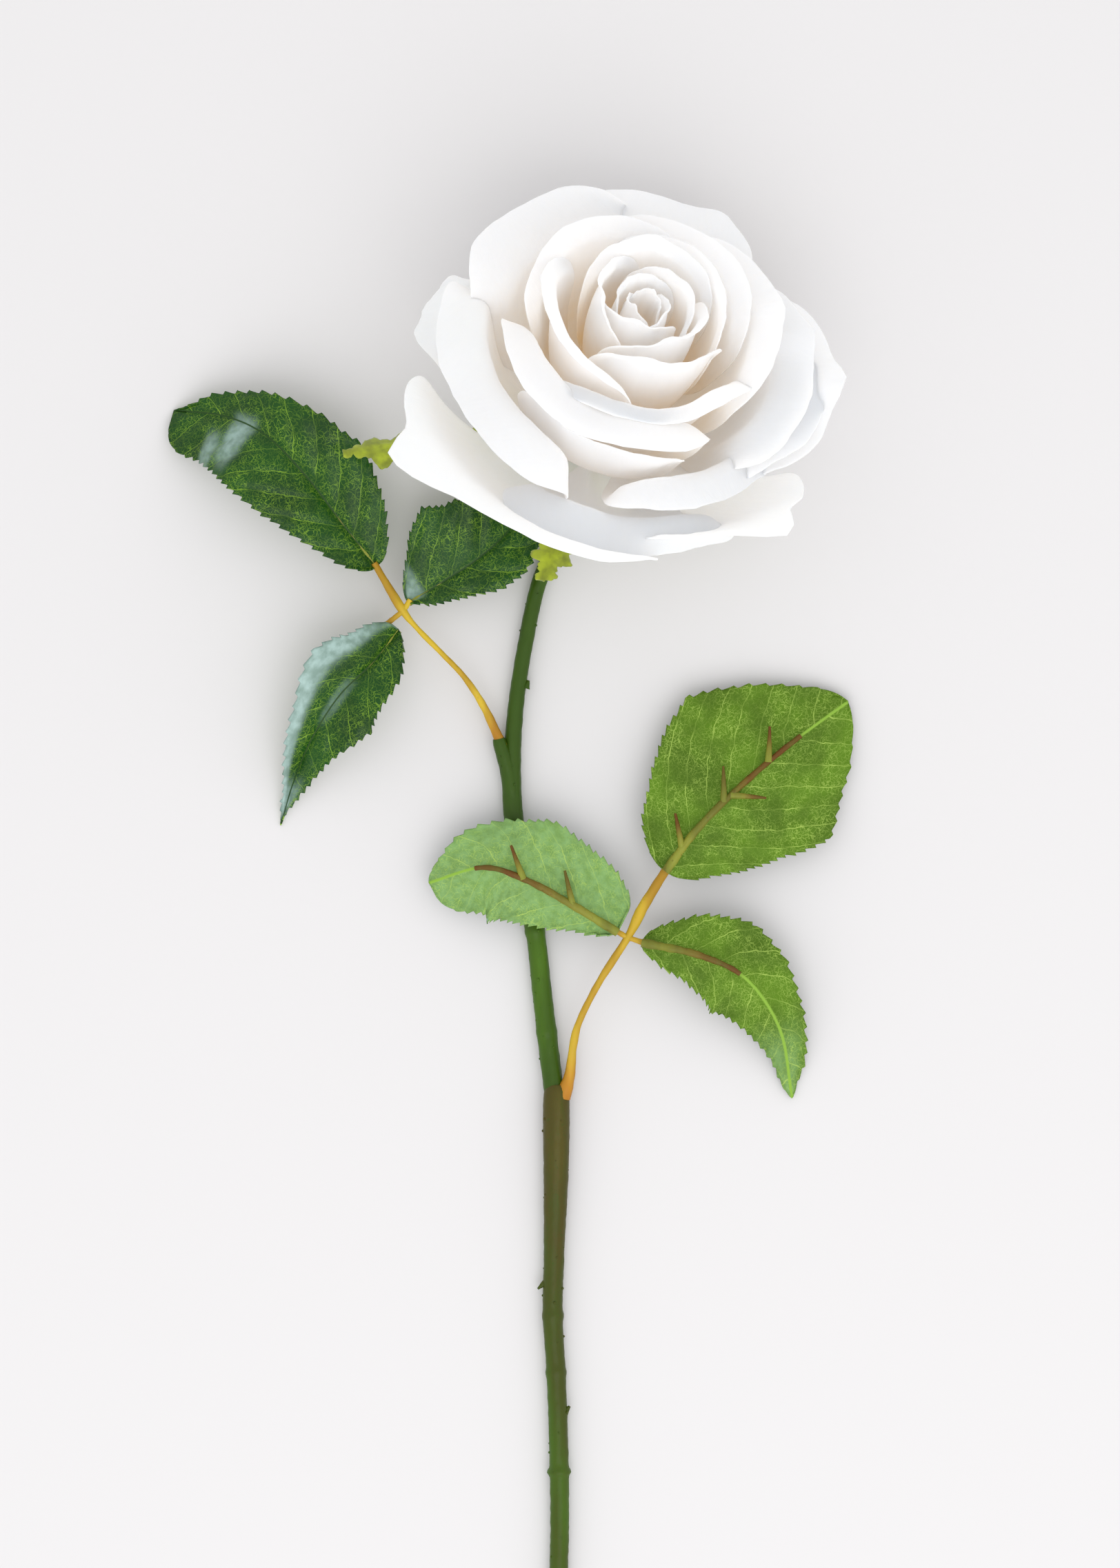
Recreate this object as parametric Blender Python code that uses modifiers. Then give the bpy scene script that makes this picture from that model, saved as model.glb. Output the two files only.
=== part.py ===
"""A cut rose with silk petals and leaves on a moulded plastic stem, laid down on a flat surface.

The stem lies along Y with its cut end at -Y. Its neck curves up into the flower, whose axis leans over
so that the far petals rest on the surface. Two sprigs of three leaves lie to either side of the stem.
All lengths below are in millimetres; MM turns them into metres as each mesh is made.
"""

import math
from collections import namedtuple

import bmesh
import bpy
import numpy as np
from mathutils import Matrix, Vector

MM = 0.001
GAP = 0.35                      # clearance between pieces that touch on the real flower

# The places below are measured from the middle of the stem's visible part. The rose's own origin is
# this point of them: on the surface, under the middle of the rose's box.
ORIGIN = Vector((-12.3, -52.5, 0.0))

# ---- where the flower sits -------------------------------------------------------------------------
FLOWER_BASE = Vector((9.9, 88.8, 18.8))
FLOWER_LEAN = math.radians(35.0)        # of the flower's axis from straight up
FLOWER_HEADING = math.radians(68.0)     # the way that it leans, seen from above

# ---- petals ----------------------------------------------------------------------------------------
SILK = 0.4                      # thickness of a petal
# A petal's centre line is a Bezier curve from the core to the rim, as four (radius, height) pairs.
# Level 0 is the closed heart and level 1 the flattest outer petal; levels between are blended.
PETAL_LEVELS = np.array([
    [(1.2, 14.0), (5.0, 24.0), (5.5, 44.0), (3.0, 52.0)],
    [(3.0, 11.0), (12.5, 14.0), (18.5, 40.0), (14.0, 54.5)],
    [(5.0, 8.0), (23.0, 8.0), (26.0, 34.0), (27.5, 49.0)],
    [(6.8, 4.5), (33.0, 2.0), (34.0, 24.0), (41.0, 38.0)],
    [(8.5, 1.0), (40.0, -4.0), (45.0, 10.0), (57.0, 21.0)],
])
PETAL_FOOT = 0.12               # how far up its centre line a petal's foot starts
PETAL_CLAW = 0.2                # width of the foot, as a share of the widest part
# Change of level from a petal's middle to its left edge, so that each one wraps over the next.
HEART_SPIRAL = -0.02
OPEN_SPIRAL = 0.004
PETAL_WAIST = 0.5               # place of the mesh's centre point along the petal
HEART_PETALS = 9
HEART_SPREAD = (100.0, 78.0)    # half of the angle that the first and the last heart petal wrap
HEART_LEVELS = (0.03, 0.246)
HEART_HEIGHTS = (0.93, 0.994)
HEART_START = 60.0              # azimuth of the first heart petal
HEART_RIM = 1.5                 # length of a heart petal's turned rim, and the angle that it turns
HEART_TURN = 12.0
HEART_MESH = (16, 5)            # mesh sectors and rings of a heart petal and of an open one
OPEN_MESH = (14, 4)
GOLDEN_ANGLE = 137.5

# name: (azimuth, level, half of the angle it spans, height, length of the turned rim, angle it turns)
OPEN_PETALS = {
    "petal_inner_1": (282, 0.308, 62, 0.965, 2.0, 20),
    "petal_inner_2": (40, 0.342, 70, 0.970, 2.0, 20),
    "petal_inner_3": (198, 0.378, 70, 1.000, 2.5, 30),
    "petal_inner_4": (118, 0.419, 66, 1.000, 2.5, 30),
    "petal_inner_5": (50, 0.457, 64, 1.000, 2.5, 30),
    "petal_middle_1": (277, 0.475, 72, 0.950, 3.0, 35),
    "petal_middle_2": (14, 0.535, 56, 1.030, 3.0, 35),
    "petal_middle_3": (239, 0.517, 72, 1.050, 3.0, 40),
    "petal_middle_4": (127, 0.600, 52, 1.080, 3.0, 40),
    "petal_middle_5": (74, 0.660, 45, 1.080, 3.0, 40),
    "petal_middle_6": (353, 0.700, 50, 1.050, 3.0, 40),
    "petal_middle_7": (250, 0.655, 44, 0.900, 2.5, 15),
    "petal_outer_1": (202, 0.710, 55, 1.080, 3.0, 40),
    "petal_outer_2": (300, 0.740, 44, 0.950, 3.0, 40),
    "petal_outer_3": (340, 0.780, 34, 1.050, 3.0, 40),
    "petal_outer_4": (101, 0.840, 42, 1.000, 3.0, 40),
    "petal_outer_5": (354, 0.860, 42, 1.060, 3.0, 30),
    "petal_outer_6": (223, 0.960, 36, 1.140, 3.0, 12),
    "petal_outer_7": (267, 0.865, 43, 0.960, 3.0, 50),
    "petal_outer_8": (300, 0.965, 19, 1.100, 3.0, 40),
    "petal_outer_9": (160, 0.815, 24, 1.030, 3.0, 40),
}

# ---- receptacle and sepals -------------------------------------------------------------------------
# The receptacle is turned: radius and height, from the stem up to the point inside the heart.
RECEPTACLE_PROFILE = [
    (0.0, -12.0), (3.0, -12.0), (4.4, -9.5), (6.4, -5.0), (7.4, -1.5),
    (7.4, 0.2), (5.2, 3.6), (3.4, 7.2), (1.8, 10.4), (0.6, 13.6), (0.0, 13.6),
]
RECEPTACLE_STEPS = 20
SEPAL_THICKNESS = 0.6
SEPAL_ROOT = (8.3, -2.6)        # radius and height where a sepal leaves the receptacle
SEPAL_HALF_WIDTH = 4.2
SEPAL_SAG = 0.8
SEPAL_DROOP = 0.4               # how far its edges hang, as a share of its half-width
SEPAL_STEPS = 8
# name: (azimuth, length, height of the tip)
SEPALS = {
    "sepal_1": (187, 64, -8.5),
    "sepal_2": (254, 43, -8.0),
    "sepal_3": (338, 44, -4.0),
    "sepal_4": (45, 31, -1.6),
    "sepal_5": (115, 32, -1.6),
}

# ---- stem ------------------------------------------------------------------------------------------
NECK_LENGTH = 6.0               # straight length under the flower before the neck starts to curve
NECK_RADIUS = 1.9
# Centre line and radius (x, y, z, radius), from the neck to the socket where the two mouldings meet.
UPPER_STEM_ROUTE = [
    (4.4, 75.2, 8.1, 1.9), (1.2, 67.0, 4.9, 1.9), (-2.6, 57.6, 3.0, 1.9), (-6.0, 48.0, 2.4, 1.9),
    (-8.9, 34.0, 2.4, 1.9), (-10.7, 22.6, 2.5, 1.95), (-11.7, 12.0, 2.6, 2.1), (-12.1, 2.0, 2.6, 2.35),
    (-11.6, -8.8, 2.6, 2.45), (-9.6, -21.0, 2.5, 2.4), (-6.2, -37.4, 2.5, 2.4),
    (-4.4, -53.1, 2.6, 2.45), (-2.8, -66.8, 2.9, 2.5), (-1.6, -76.0, 3.2, 2.5),
]
LOWER_STEM_ROUTE = [
    (-0.9, -76.7, 3.6, 3.1), (-0.9, -84.0, 3.5, 3.35), (-1.0, -98.3, 3.2, 3.1), (-1.5, -118.0, 2.7, 2.6),
    (-1.8, -133.7, 2.6, 2.5), (-1.0, -147.4, 2.5, 2.4), (-0.3, -167.1, 2.45, 2.4),
    (-0.1, -186.8, 2.4, 2.35), (-0.6, -206.0, 2.4, 2.3), (-1.2, -228.0, 2.4, 2.3),
    (-1.6, -252.0, 2.4, 2.3),
]
STEM_STEP = 6.5                 # spacing of the points along a stem
# A stub on the stem takes the foot of the upper sprig: foot, end and radii.
STUB = ((-11.9, -1.0, 2.9), (-14.9, 9.6, 4.0), 2.3, 1.7)

# ---- leaf sprigs -----------------------------------------------------------------------------------
STALK_RADII = (1.4, 1.05)       # of a leaf stalk, at its foot and at its far end
SIDE_STALK_RADIUS = 0.95
STALK_STEP = 4.0                # spacing of the points along a stalk
LEAF_SILK = 0.5                 # thickness of a leaf
RIB_LIFT = 1.5                  # from the leaf's middle surface to the centre of its plastic rib
RIB_POINTS = 9
RIB_START = 0.03                # place along the leaf where its rib starts
RIB_RADII = (0.9, 0.5)
PRONG_RADII = (0.5, 0.3)
PRONG_STEP = (6.0, 6.5)         # how far a prong runs forward and aside
PRONG_RISE = 0.6
# name: stalk route, then the routes of its two side stalks
STALKS = {
    "stalk_upper": (
        [(-15.4, 11.3, 4.2), (-19.2, 19.6, 5.4), (-24.0, 26.8, 6.6), (-30.3, 33.4, 7.4),
         (-35.4, 38.6, 8.0), (-39.2, 43.2, 8.2), (-45.0, 52.8, 8.4)],
        [(-39.2, 43.2, 8.2), (-38.6, 44.6, 8.2)],
        [(-39.2, 43.2, 8.2), (-43.4, 39.8, 8.6)],
    ),
    "stalk_lower": (
        [(2.6, -72.4, 5.0), (3.2, -65.6, 6.4), (4.9, -59.2, 7.4), (10.0, -49.1, 8.6),
         (16.9, -38.3, 9.4), (20.8, -30.6, 9.4), (25.6, -22.8, 9.0)],
        [(16.9, -38.3, 9.4), (14.8, -37.2, 9.6)],
        [(16.9, -38.3, 9.4), (19.6, -39.2, 9.4)],
    ),
}

# Each half of a leaf has its width, the share of the length where it is widest, the powers with
# which it opens from the foot and closes to the tip, and its rise from the midrib in degrees. A leaf
# also has the side that its plastic rib is on (1 above, -1 below), how far the rib reaches, and the
# rib's prongs as (place along the leaf, side).
Half = namedtuple("Half", "width widest foot tip rise")
Leaf = namedtuple("Leaf", "route right left rib_side rib_reach prongs")
LEAVES = {
    "leaf_upper_end": Leaf(
        [(-45.8, 54.3, 8.4), (-53.9, 64.5, 11.5), (-62.7, 76.0, 13.5), (-73.0, 86.6, 14.0),
         (-84.0, 92.0, 7.5), (-97.0, 93.8, 1.2)],
        Half(16.5, 0.38, 0.5, 0.75, 10), Half(16.5, 0.54, 0.5, 0.24, 12), -1, 0.80,
        [(0.35, 1), (0.50, -1)]),
    "leaf_upper_right": Leaf(
        [(-38.0, 45.4, 8.2), (-29.0, 50.6, 9.3), (-19.0, 57.4, 9.5), (-11.0, 66.0, 8.6),
         (-7.5, 78.0, 7.2)],
        Half(10.5, 0.58, 0.7, 0.5, 8), Half(18.5, 0.36, 0.6, 0.5, 14), -1, 0.80,
        [(0.35, 1), (0.50, -1)]),
    "leaf_upper_left": Leaf(
        [(-40.4, 38.6, 8.8), (-46.6, 30.4, 10.5), (-55.0, 22.1, 11.0), (-62.1, 11.2, 8.5),
         (-66.9, 0.3, 3.8), (-70.2, -10.4, 0.8)],
        Half(13.5, 0.34, 0.4, 1.05, 30), Half(12.0, 0.44, 0.6, 1.1, 6), -1, 0.80,
        [(0.35, 1), (0.50, -1)]),
    "leaf_lower_end": Leaf(
        [(26.3, -21.8, 9.0), (34.0, -11.5, 9.5), (43.4, -2.0, 9.5), (57.0, 9.6, 7.0),
         (72.0, 20.5, 2.5)],
        Half(25.0, 0.66, 0.5, 0.6, -5), Half(25.5, 0.60, 0.5, 0.6, -6), 1, 0.80,
        [(0.14, -1), (0.44, -1), (0.48, 1), (0.66, -1)]),
    "leaf_lower_left": Leaf(
        [(14.2, -36.9, 9.6), (2.5, -29.8, 11.5), (-9.1, -23.6, 12.5), (-19.4, -20.8, 11.0),
         (-32.5, -24.6, 7.0)],
        Half(16.5, 0.44, 0.22, 0.55, -8), Half(14.5, 0.70, 0.6, 0.30, -14), 1, 0.78,
        [(0.24, 1), (0.50, 1)]),
    "leaf_lower_right": Leaf(
        [(20.6, -39.6, 9.4), (34.6, -42.6, 11.5), (46.4, -48.6, 11.5), (55.0, -61.5, 6.5),
         (58.2, -78.6, 0.8)],
        Half(12.0, 0.50, 0.5, 0.75, -10), Half(13.0, 0.42, 0.5, 0.75, -10), 1, 0.46, []),
}
LEAF_STEPS = 12                 # mesh steps along a leaf, and how near they come to its ends
LEAF_ENDS = (0.06, 0.98)
LEAF_COLUMNS = (-1.0, -0.5, 0.0, 0.5, 1.0)

# ---- colours: red, green, blue, roughness ----------------------------------------------------------
WHITE_SILK = (0.86, 0.86, 0.87, 0.80)
LEAF_GREEN = (0.045, 0.16, 0.035, 0.50)
LEAF_BACK_GREEN = (0.16, 0.32, 0.06, 0.65)
STEM_GREEN = (0.07, 0.20, 0.03, 0.45)
STEM_OLIVE = (0.13, 0.18, 0.03, 0.50)
SEPAL_GREEN = (0.28, 0.42, 0.03, 0.55)
STALK_YELLOW = (0.66, 0.45, 0.06, 0.45)
RIB_OLIVE = (0.25, 0.22, 0.04, 0.50)


# ---- shared helpers --------------------------------------------------------------------------------
def clear_scene():
    for obj in list(bpy.data.objects):
        bpy.data.objects.remove(obj, do_unlink=True)


def make_material(name, look):
    material = bpy.data.materials.new(name)
    material.use_nodes = True
    shader = material.node_tree.nodes["Principled BSDF"]
    shader.inputs["Base Color"].default_value = (*look[:3], 1.0)
    shader.inputs["Roughness"].default_value = look[3]
    shader.inputs["Metallic"].default_value = 0.0
    return material


def smooth_route(points, count):
    """A smooth curve through the points, as count places evenly spread over their spans."""
    points = np.array(points, float)
    before = 2 * points[0] - points[1]
    after = 2 * points[-1] - points[-2]
    chain = np.vstack([before, points, after])
    place = np.linspace(0.0, len(points) - 1.0, count)
    span = np.minimum(place.astype(int), len(points) - 2)
    share = (place - span)[:, None]
    a, b, c, d = (chain[span + shift] for shift in range(4))
    return 0.5 * (2 * b + (c - a) * share + (2 * a - 5 * b + 4 * c - d) * share**2
                  + (3 * b - a - 3 * c + d) * share**3)


def unit(vectors):
    return vectors / np.maximum(np.linalg.norm(vectors, axis=-1, keepdims=True), 1e-9)


def route_length(points):
    return float(np.linalg.norm(np.diff(np.array(points, float), axis=0), axis=1).sum())


def add_object(name, data, material, parent, collection):
    obj = bpy.data.objects.new(name, data)
    data.materials.append(material)
    collection.objects.link(obj)
    obj.parent = parent
    return obj


def add_sheet(name, vertices, faces, thickness, material, parent, collection):
    """A thin solid around an open surface given in millimetres."""
    mesh = bpy.data.meshes.new(name)
    mesh.from_pydata([tuple(v) for v in vertices * MM], [], faces)
    mesh.shade_smooth()
    obj = add_object(name, mesh, material, parent, collection)
    solidify = obj.modifiers.new("thickness", "SOLIDIFY")
    solidify.thickness = thickness * MM
    solidify.offset = 0.0
    return obj


def add_rod(name, route, radii, material, parent, collection):
    """A round rod along a route, as a mesh with welded caps; radii holds one radius for each point."""
    curve = bpy.data.curves.new(name, "CURVE")
    curve.dimensions = "3D"
    curve.bevel_depth = MM
    curve.bevel_resolution = 2
    curve.use_fill_caps = True
    spline = curve.splines.new("POLY")
    spline.points.add(len(route) - 1)
    for point, place, radius in zip(spline.points, route, radii):
        point.co = (*(np.array(place) * MM), 1.0)
        point.radius = radius
    guide = bpy.data.objects.new(name + "_guide", curve)
    collection.objects.link(guide)
    evaluated = guide.evaluated_get(bpy.context.evaluated_depsgraph_get())
    mesh = bpy.data.meshes.new_from_object(evaluated)
    bpy.data.objects.remove(guide, do_unlink=True)
    welded = bmesh.new()
    welded.from_mesh(mesh)
    bmesh.ops.remove_doubles(welded, verts=welded.verts, dist=0.01 * MM)
    bmesh.ops.recalc_face_normals(welded, faces=welded.faces)
    welded.to_mesh(mesh)
    welded.free()
    mesh.materials.clear()
    mesh.shade_smooth()
    mesh.set_sharp_from_angle(angle=math.radians(50))
    return add_object(name, mesh, material, parent, collection)


def join_rods(rods):
    """Fuse crossing rods into the first one, so that they make one moulding."""
    body = rods[0]
    for rod in rods[1:]:
        union = body.modifiers.new("union", "BOOLEAN")
        union.operation = "UNION"
        union.solver = "EXACT"
        union.object = rod
    evaluated = body.evaluated_get(bpy.context.evaluated_depsgraph_get())
    fused = bpy.data.meshes.new_from_object(evaluated)
    body.modifiers.clear()
    body.data = fused
    for rod in rods[1:]:
        bpy.data.objects.remove(rod, do_unlink=True)
    return body


# ---- petals ----------------------------------------------------------------------------------------
def petal_line(level, along):
    """Radius and height on the centre line of a petal of this level, both arrays of one shape."""
    step = np.clip(level * 4.0, 0.0, 3.999)
    low = step.astype(int)
    share = (step - low)[..., None, None]
    keys = PETAL_LEVELS
    below = np.where((low > 0)[..., None, None], keys[np.maximum(low - 1, 0)], 2 * keys[0] - keys[1])
    above = np.where((low < 3)[..., None, None], keys[np.minimum(low + 2, 4)], 2 * keys[4] - keys[3])
    start, end = keys[low], keys[low + 1]
    line = 0.5 * (2 * start + (end - below) * share
                  + (2 * below - 5 * start + 4 * end - above) * share**2
                  + (3 * start - below - 3 * end + above) * share**3)
    s = along[..., None]
    return ((1 - s)**3 * line[..., 0, :] + 3 * s * (1 - s)**2 * line[..., 1, :]
            + 3 * s**2 * (1 - s) * line[..., 2, :] + s**3 * line[..., 3, :])


def petal_place(across, along, azimuth, level, spread, spiral):
    """Points of a petal before its rim turns: across runs from -1 to 1, along from 0 to 1."""
    line = petal_line(level + spiral * across, along)
    angle = math.radians(azimuth) + across * math.radians(spread)
    return np.stack([line[..., 0] * np.cos(angle), line[..., 0] * np.sin(angle), line[..., 1]], axis=-1)


def petal_outline(sectors, height):
    """The petal's edge as across and along values, from the tip round to the tip."""
    turn = np.linspace(-math.pi, math.pi, sectors, endpoint=False)
    tipward, sideways = np.cos(turn), np.sin(turn)
    across = np.sign(sideways) * np.abs(sideways)**0.8 * (1 + 0.3 * tipward) / 1.06
    claw = np.sign(sideways) * np.maximum(np.abs(across) * 0.9, PETAL_CLAW * np.abs(sideways)**0.4)
    footward = np.clip((-tipward - 0.2) / 0.8, 0.0, 1.0)
    across = across * (1 - footward) + claw * footward
    rise = 0.5 + 0.5 * np.sign(tipward) * np.abs(tipward)**0.8
    along = PETAL_FOOT + (height - PETAL_FOOT) * rise
    return across, along, tipward


def petal_sheet(azimuth, level, spread, height, rim, turn_angle, spiral, sectors, rings):
    """Vertices and faces of a petal: rings of points round a centre, the last one along its edge."""
    across, along, tipward = petal_outline(sectors, height)
    reach = 1 - (1 - np.linspace(0.0, 1.0, rings + 1))**1.35
    waist = PETAL_WAIST * height
    ring_across = reach[:, None] * across
    ring_along = waist + reach[:, None] * (along - waist)
    points = petal_place(ring_across, ring_along, azimuth, level, spread, spiral)
    turned = points.copy()
    strength = np.clip((tipward + 0.55) / 0.75, 0.0, 1.0)
    for sector in range(sectors):
        ray = points[:, sector]
        run = np.concatenate([[0.0], np.cumsum(np.linalg.norm(np.diff(ray, axis=0), axis=1))])
        start = run[-1] - rim
        hinge = np.array([np.interp(start, run, ray[:, axis]) for axis in range(3)])
        onward = unit(ray[-1] - hinge)
        outward = np.array([hinge[0], hinge[1], 0.0])
        outward = unit(outward - outward.dot(onward) * onward)
        bend = math.radians(turn_angle) * strength[sector]
        for ring in range(1, rings + 1):
            past = run[ring] - start
            if past > 0.0:
                angle = 0.5 * bend * past / rim
                turned[ring, sector] = hinge + past * (math.cos(angle) * onward + math.sin(angle) * outward)
    vertices = np.vstack([turned[0, :1], turned[1:].reshape(-1, 3)])
    faces = [(0, 1 + (k + 1) % sectors, 1 + k) for k in range(sectors)]
    for ring in range(rings - 1):
        first = 1 + ring * sectors
        for k in range(sectors):
            n = (k + 1) % sectors
            faces.append((first + k, first + n, first + sectors + n, first + sectors + k))
    return vertices, faces


def make_petals(flower, collection, silk):
    for index in range(HEART_PETALS):
        share = index / (HEART_PETALS - 1)
        level, height, spread = (
            low + (high - low) * share for low, high in (HEART_LEVELS, HEART_HEIGHTS, HEART_SPREAD))
        azimuth = HEART_START + GOLDEN_ANGLE * index
        vertices, faces = petal_sheet(azimuth, level, spread, height, HEART_RIM, HEART_TURN,
                                      HEART_SPIRAL, *HEART_MESH)
        add_sheet(f"petal_heart_{index + 1}", vertices, faces, SILK, silk, flower, collection)
    for name, (azimuth, level, spread, height, rim, turn_angle) in OPEN_PETALS.items():
        vertices, faces = petal_sheet(azimuth, level, spread, height, rim, turn_angle,
                                      OPEN_SPIRAL, *OPEN_MESH)
        add_sheet(name, vertices, faces, SILK, silk, flower, collection)


# ---- receptacle and sepals -------------------------------------------------------------------------
def make_receptacle(flower, collection, green):
    profile = bpy.data.meshes.new("receptacle")
    # the profile runs down its outer side, from the point to the stem
    places = [(radius * MM, 0.0, height * MM) for radius, height in reversed(RECEPTACLE_PROFILE)]
    profile.from_pydata(places, [(k, k + 1) for k in range(len(places) - 1)], [])
    receptacle = add_object("receptacle", profile, green, flower, collection)
    screw = receptacle.modifiers.new("turned", "SCREW")
    screw.steps = RECEPTACLE_STEPS
    screw.render_steps = RECEPTACLE_STEPS
    screw.use_merge_vertices = True
    screw.merge_threshold = 0.00001
    return receptacle


def make_sepals(flower, collection, green):
    for name, (azimuth, length, tip_height) in SEPALS.items():
        angle = math.radians(azimuth)
        outward = np.array([math.cos(angle), math.sin(angle), 0.0])
        sideways = np.array([-math.sin(angle), math.cos(angle), 0.0])
        root_radius, root_height = SEPAL_ROOT
        vertices, faces = [], []
        for step in range(SEPAL_STEPS + 1):
            share = step / SEPAL_STEPS
            radius = root_radius + (length - root_radius) * share
            height = root_height + (tip_height - root_height) * share - SEPAL_SAG * math.sin(math.pi * share)
            width = SEPAL_HALF_WIDTH * (0.45 + 0.55 * math.sin(math.pi * share**1.4)) * (1 - 0.9 * share**9)
            for side in (-1, 0, 1):
                droop = SEPAL_DROOP * width * abs(side)
                vertices.append(radius * outward + side * width * sideways
                                + np.array([0.0, 0.0, height - droop]))
        for step in range(SEPAL_STEPS):
            for column in range(2):
                first = 3 * step + column
                faces.append((first, first + 3, first + 4, first + 1))
        add_sheet(name, np.array(vertices), faces, SEPAL_THICKNESS, green, flower, collection)


# ---- stem ------------------------------------------------------------------------------------------
def stem_rod(name, route, material, parent, collection):
    places = smooth_route(route, round(route_length(route) / STEM_STEP))
    return add_rod(name, places[:, :3], places[:, 3], material, parent, collection)


def make_stem(rose, collection, materials, axis):
    neck_top = FLOWER_BASE + axis * (RECEPTACLE_PROFILE[0][1] - GAP)
    neck_end = neck_top - axis * NECK_LENGTH
    neck = [(*neck_top, NECK_RADIUS), (*neck_end, NECK_RADIUS)]
    upper = stem_rod("stem_upper", neck + UPPER_STEM_ROUTE, materials["stem"], rose, collection)
    foot, end, foot_radius, end_radius = STUB
    stub = add_rod("stub", [foot, end], [foot_radius, end_radius], materials["stem"], rose, collection)
    join_rods([upper, stub])
    stem_rod("stem_lower", LOWER_STEM_ROUTE, materials["stem_olive"], rose, collection)


# ---- leaf sprigs -----------------------------------------------------------------------------------
def leaf_width(half, share):
    """Half-width of one half of a leaf at a share of its length."""
    foot = min(share / half.widest, 1.0)**half.foot
    tip = min((1 - share) / (1 - half.widest), 1.0)**half.tip
    return half.width * foot * tip


def leaf_frame(route, share):
    """Point, heading, side and face directions of a leaf at a share of its length."""
    fine = smooth_route(route, 101)
    index = min(max(round(share * 100), 1), 99)
    heading = unit(fine[index + 1] - fine[index - 1])
    side = unit(np.cross(heading, (0.0, 0.0, 1.0)))
    return fine[round(share * 100)], heading, side, np.cross(side, heading)


def leaf_place(leaf, share, across):
    """A point of the leaf; across is 1 at its right edge and -1 at its left."""
    point, _, side, face = leaf_frame(leaf.route, share)
    half = leaf.right if across > 0 else leaf.left
    out = across * leaf_width(half, share)
    rise = math.radians(half.rise)
    return point + out * math.cos(rise) * side + abs(out) * math.sin(rise) * face


def make_leaf(name, leaf, rose, collection, materials):
    shares = 0.5 - 0.5 * np.cos(np.linspace(*LEAF_ENDS, LEAF_STEPS) * math.pi)
    columns = len(LEAF_COLUMNS)
    vertices = np.array([leaf_place(leaf, share, across) for share in shares for across in LEAF_COLUMNS])
    faces = []
    for step in range(LEAF_STEPS - 1):
        for column in range(columns - 1):
            first = columns * step + column
            faces.append((first, first + 1, first + columns + 1, first + columns))
    material = materials["leaf_back"] if leaf.rib_side > 0 else materials["leaf"]
    add_sheet(name, vertices, faces, LEAF_SILK, material, rose, collection)

    lift = leaf.rib_side * RIB_LIFT
    route = []
    for share in np.linspace(RIB_START, leaf.rib_reach, RIB_POINTS):
        point, _, _, face = leaf_frame(leaf.route, share)
        route.append(point + lift * face)
    rods = [add_rod(name.replace("leaf", "rib"), route, np.linspace(*RIB_RADII, RIB_POINTS),
                    materials["rib"], rose, collection)]
    for share, side_way in leaf.prongs:
        point, heading, side, face = leaf_frame(leaf.route, share)
        foot = point + lift * face
        forward, aside = PRONG_STEP
        end = foot + forward * heading + side_way * aside * side + leaf.rib_side * PRONG_RISE * face
        rods.append(add_rod("prong", [foot, end], PRONG_RADII, materials["rib"], rose, collection))
    join_rods(rods)


def make_sprigs(rose, collection, materials):
    for name, routes in STALKS.items():
        rods = []
        for index, route in enumerate(routes):
            count = max(2, round(route_length(route) / STALK_STEP))
            radii = np.linspace(*STALK_RADII, count) if index == 0 else [SIDE_STALK_RADIUS] * count
            rods.append(add_rod(name if index == 0 else "side_stalk", smooth_route(route, count), radii,
                                materials["stalk"], rose, collection))
        join_rods(rods)
    for name, leaf in LEAVES.items():
        make_leaf(name, leaf, rose, collection, materials)


# ---- the whole rose --------------------------------------------------------------------------------
def main():
    clear_scene()
    collection = bpy.data.collections.new("cut_rose")
    bpy.context.scene.collection.children.link(collection)
    materials = {
        "petal": make_material("white_silk", WHITE_SILK),
        "leaf": make_material("leaf_green", LEAF_GREEN),
        "leaf_back": make_material("leaf_back_green", LEAF_BACK_GREEN),
        "stem": make_material("stem_green", STEM_GREEN),
        "stem_olive": make_material("stem_olive", STEM_OLIVE),
        "sepal": make_material("sepal_green", SEPAL_GREEN),
        "stalk": make_material("stalk_yellow", STALK_YELLOW),
        "rib": make_material("rib_olive", RIB_OLIVE),
    }
    rose = bpy.data.objects.new("rose", None)
    flower = bpy.data.objects.new("flower", None)
    for empty in (rose, flower):
        collection.objects.link(empty)
    heading = Matrix.Rotation(FLOWER_HEADING, 4, "Z")
    turn = heading @ Matrix.Rotation(FLOWER_LEAN, 4, "Y") @ heading.inverted()
    rose.location = -ORIGIN * MM
    flower.parent = rose
    flower.location = FLOWER_BASE * MM
    flower.rotation_euler = turn.to_euler()

    make_petals(flower, collection, materials["petal"])
    make_receptacle(flower, collection, materials["sepal"])
    make_sepals(flower, collection, materials["sepal"])
    make_stem(rose, collection, materials, turn @ Vector((0.0, 0.0, 1.0)))
    make_sprigs(rose, collection, materials)


main()
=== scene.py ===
"""A silk rose laid on a pale surface: petals, calyx, moulded stem and two sprigs of leaves.

Working lengths are in millimetres, measured from a point on the surface beside the upper stem. ORIGIN
moves them to the middle of the whole rose, and MM turns them into metres.
"""

import math
from collections import namedtuple

import bmesh
import bpy
import numpy as np
from bpy.props import FloatProperty, FloatVectorProperty, IntProperty, PointerProperty
from mathutils import Matrix, Vector


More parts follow.
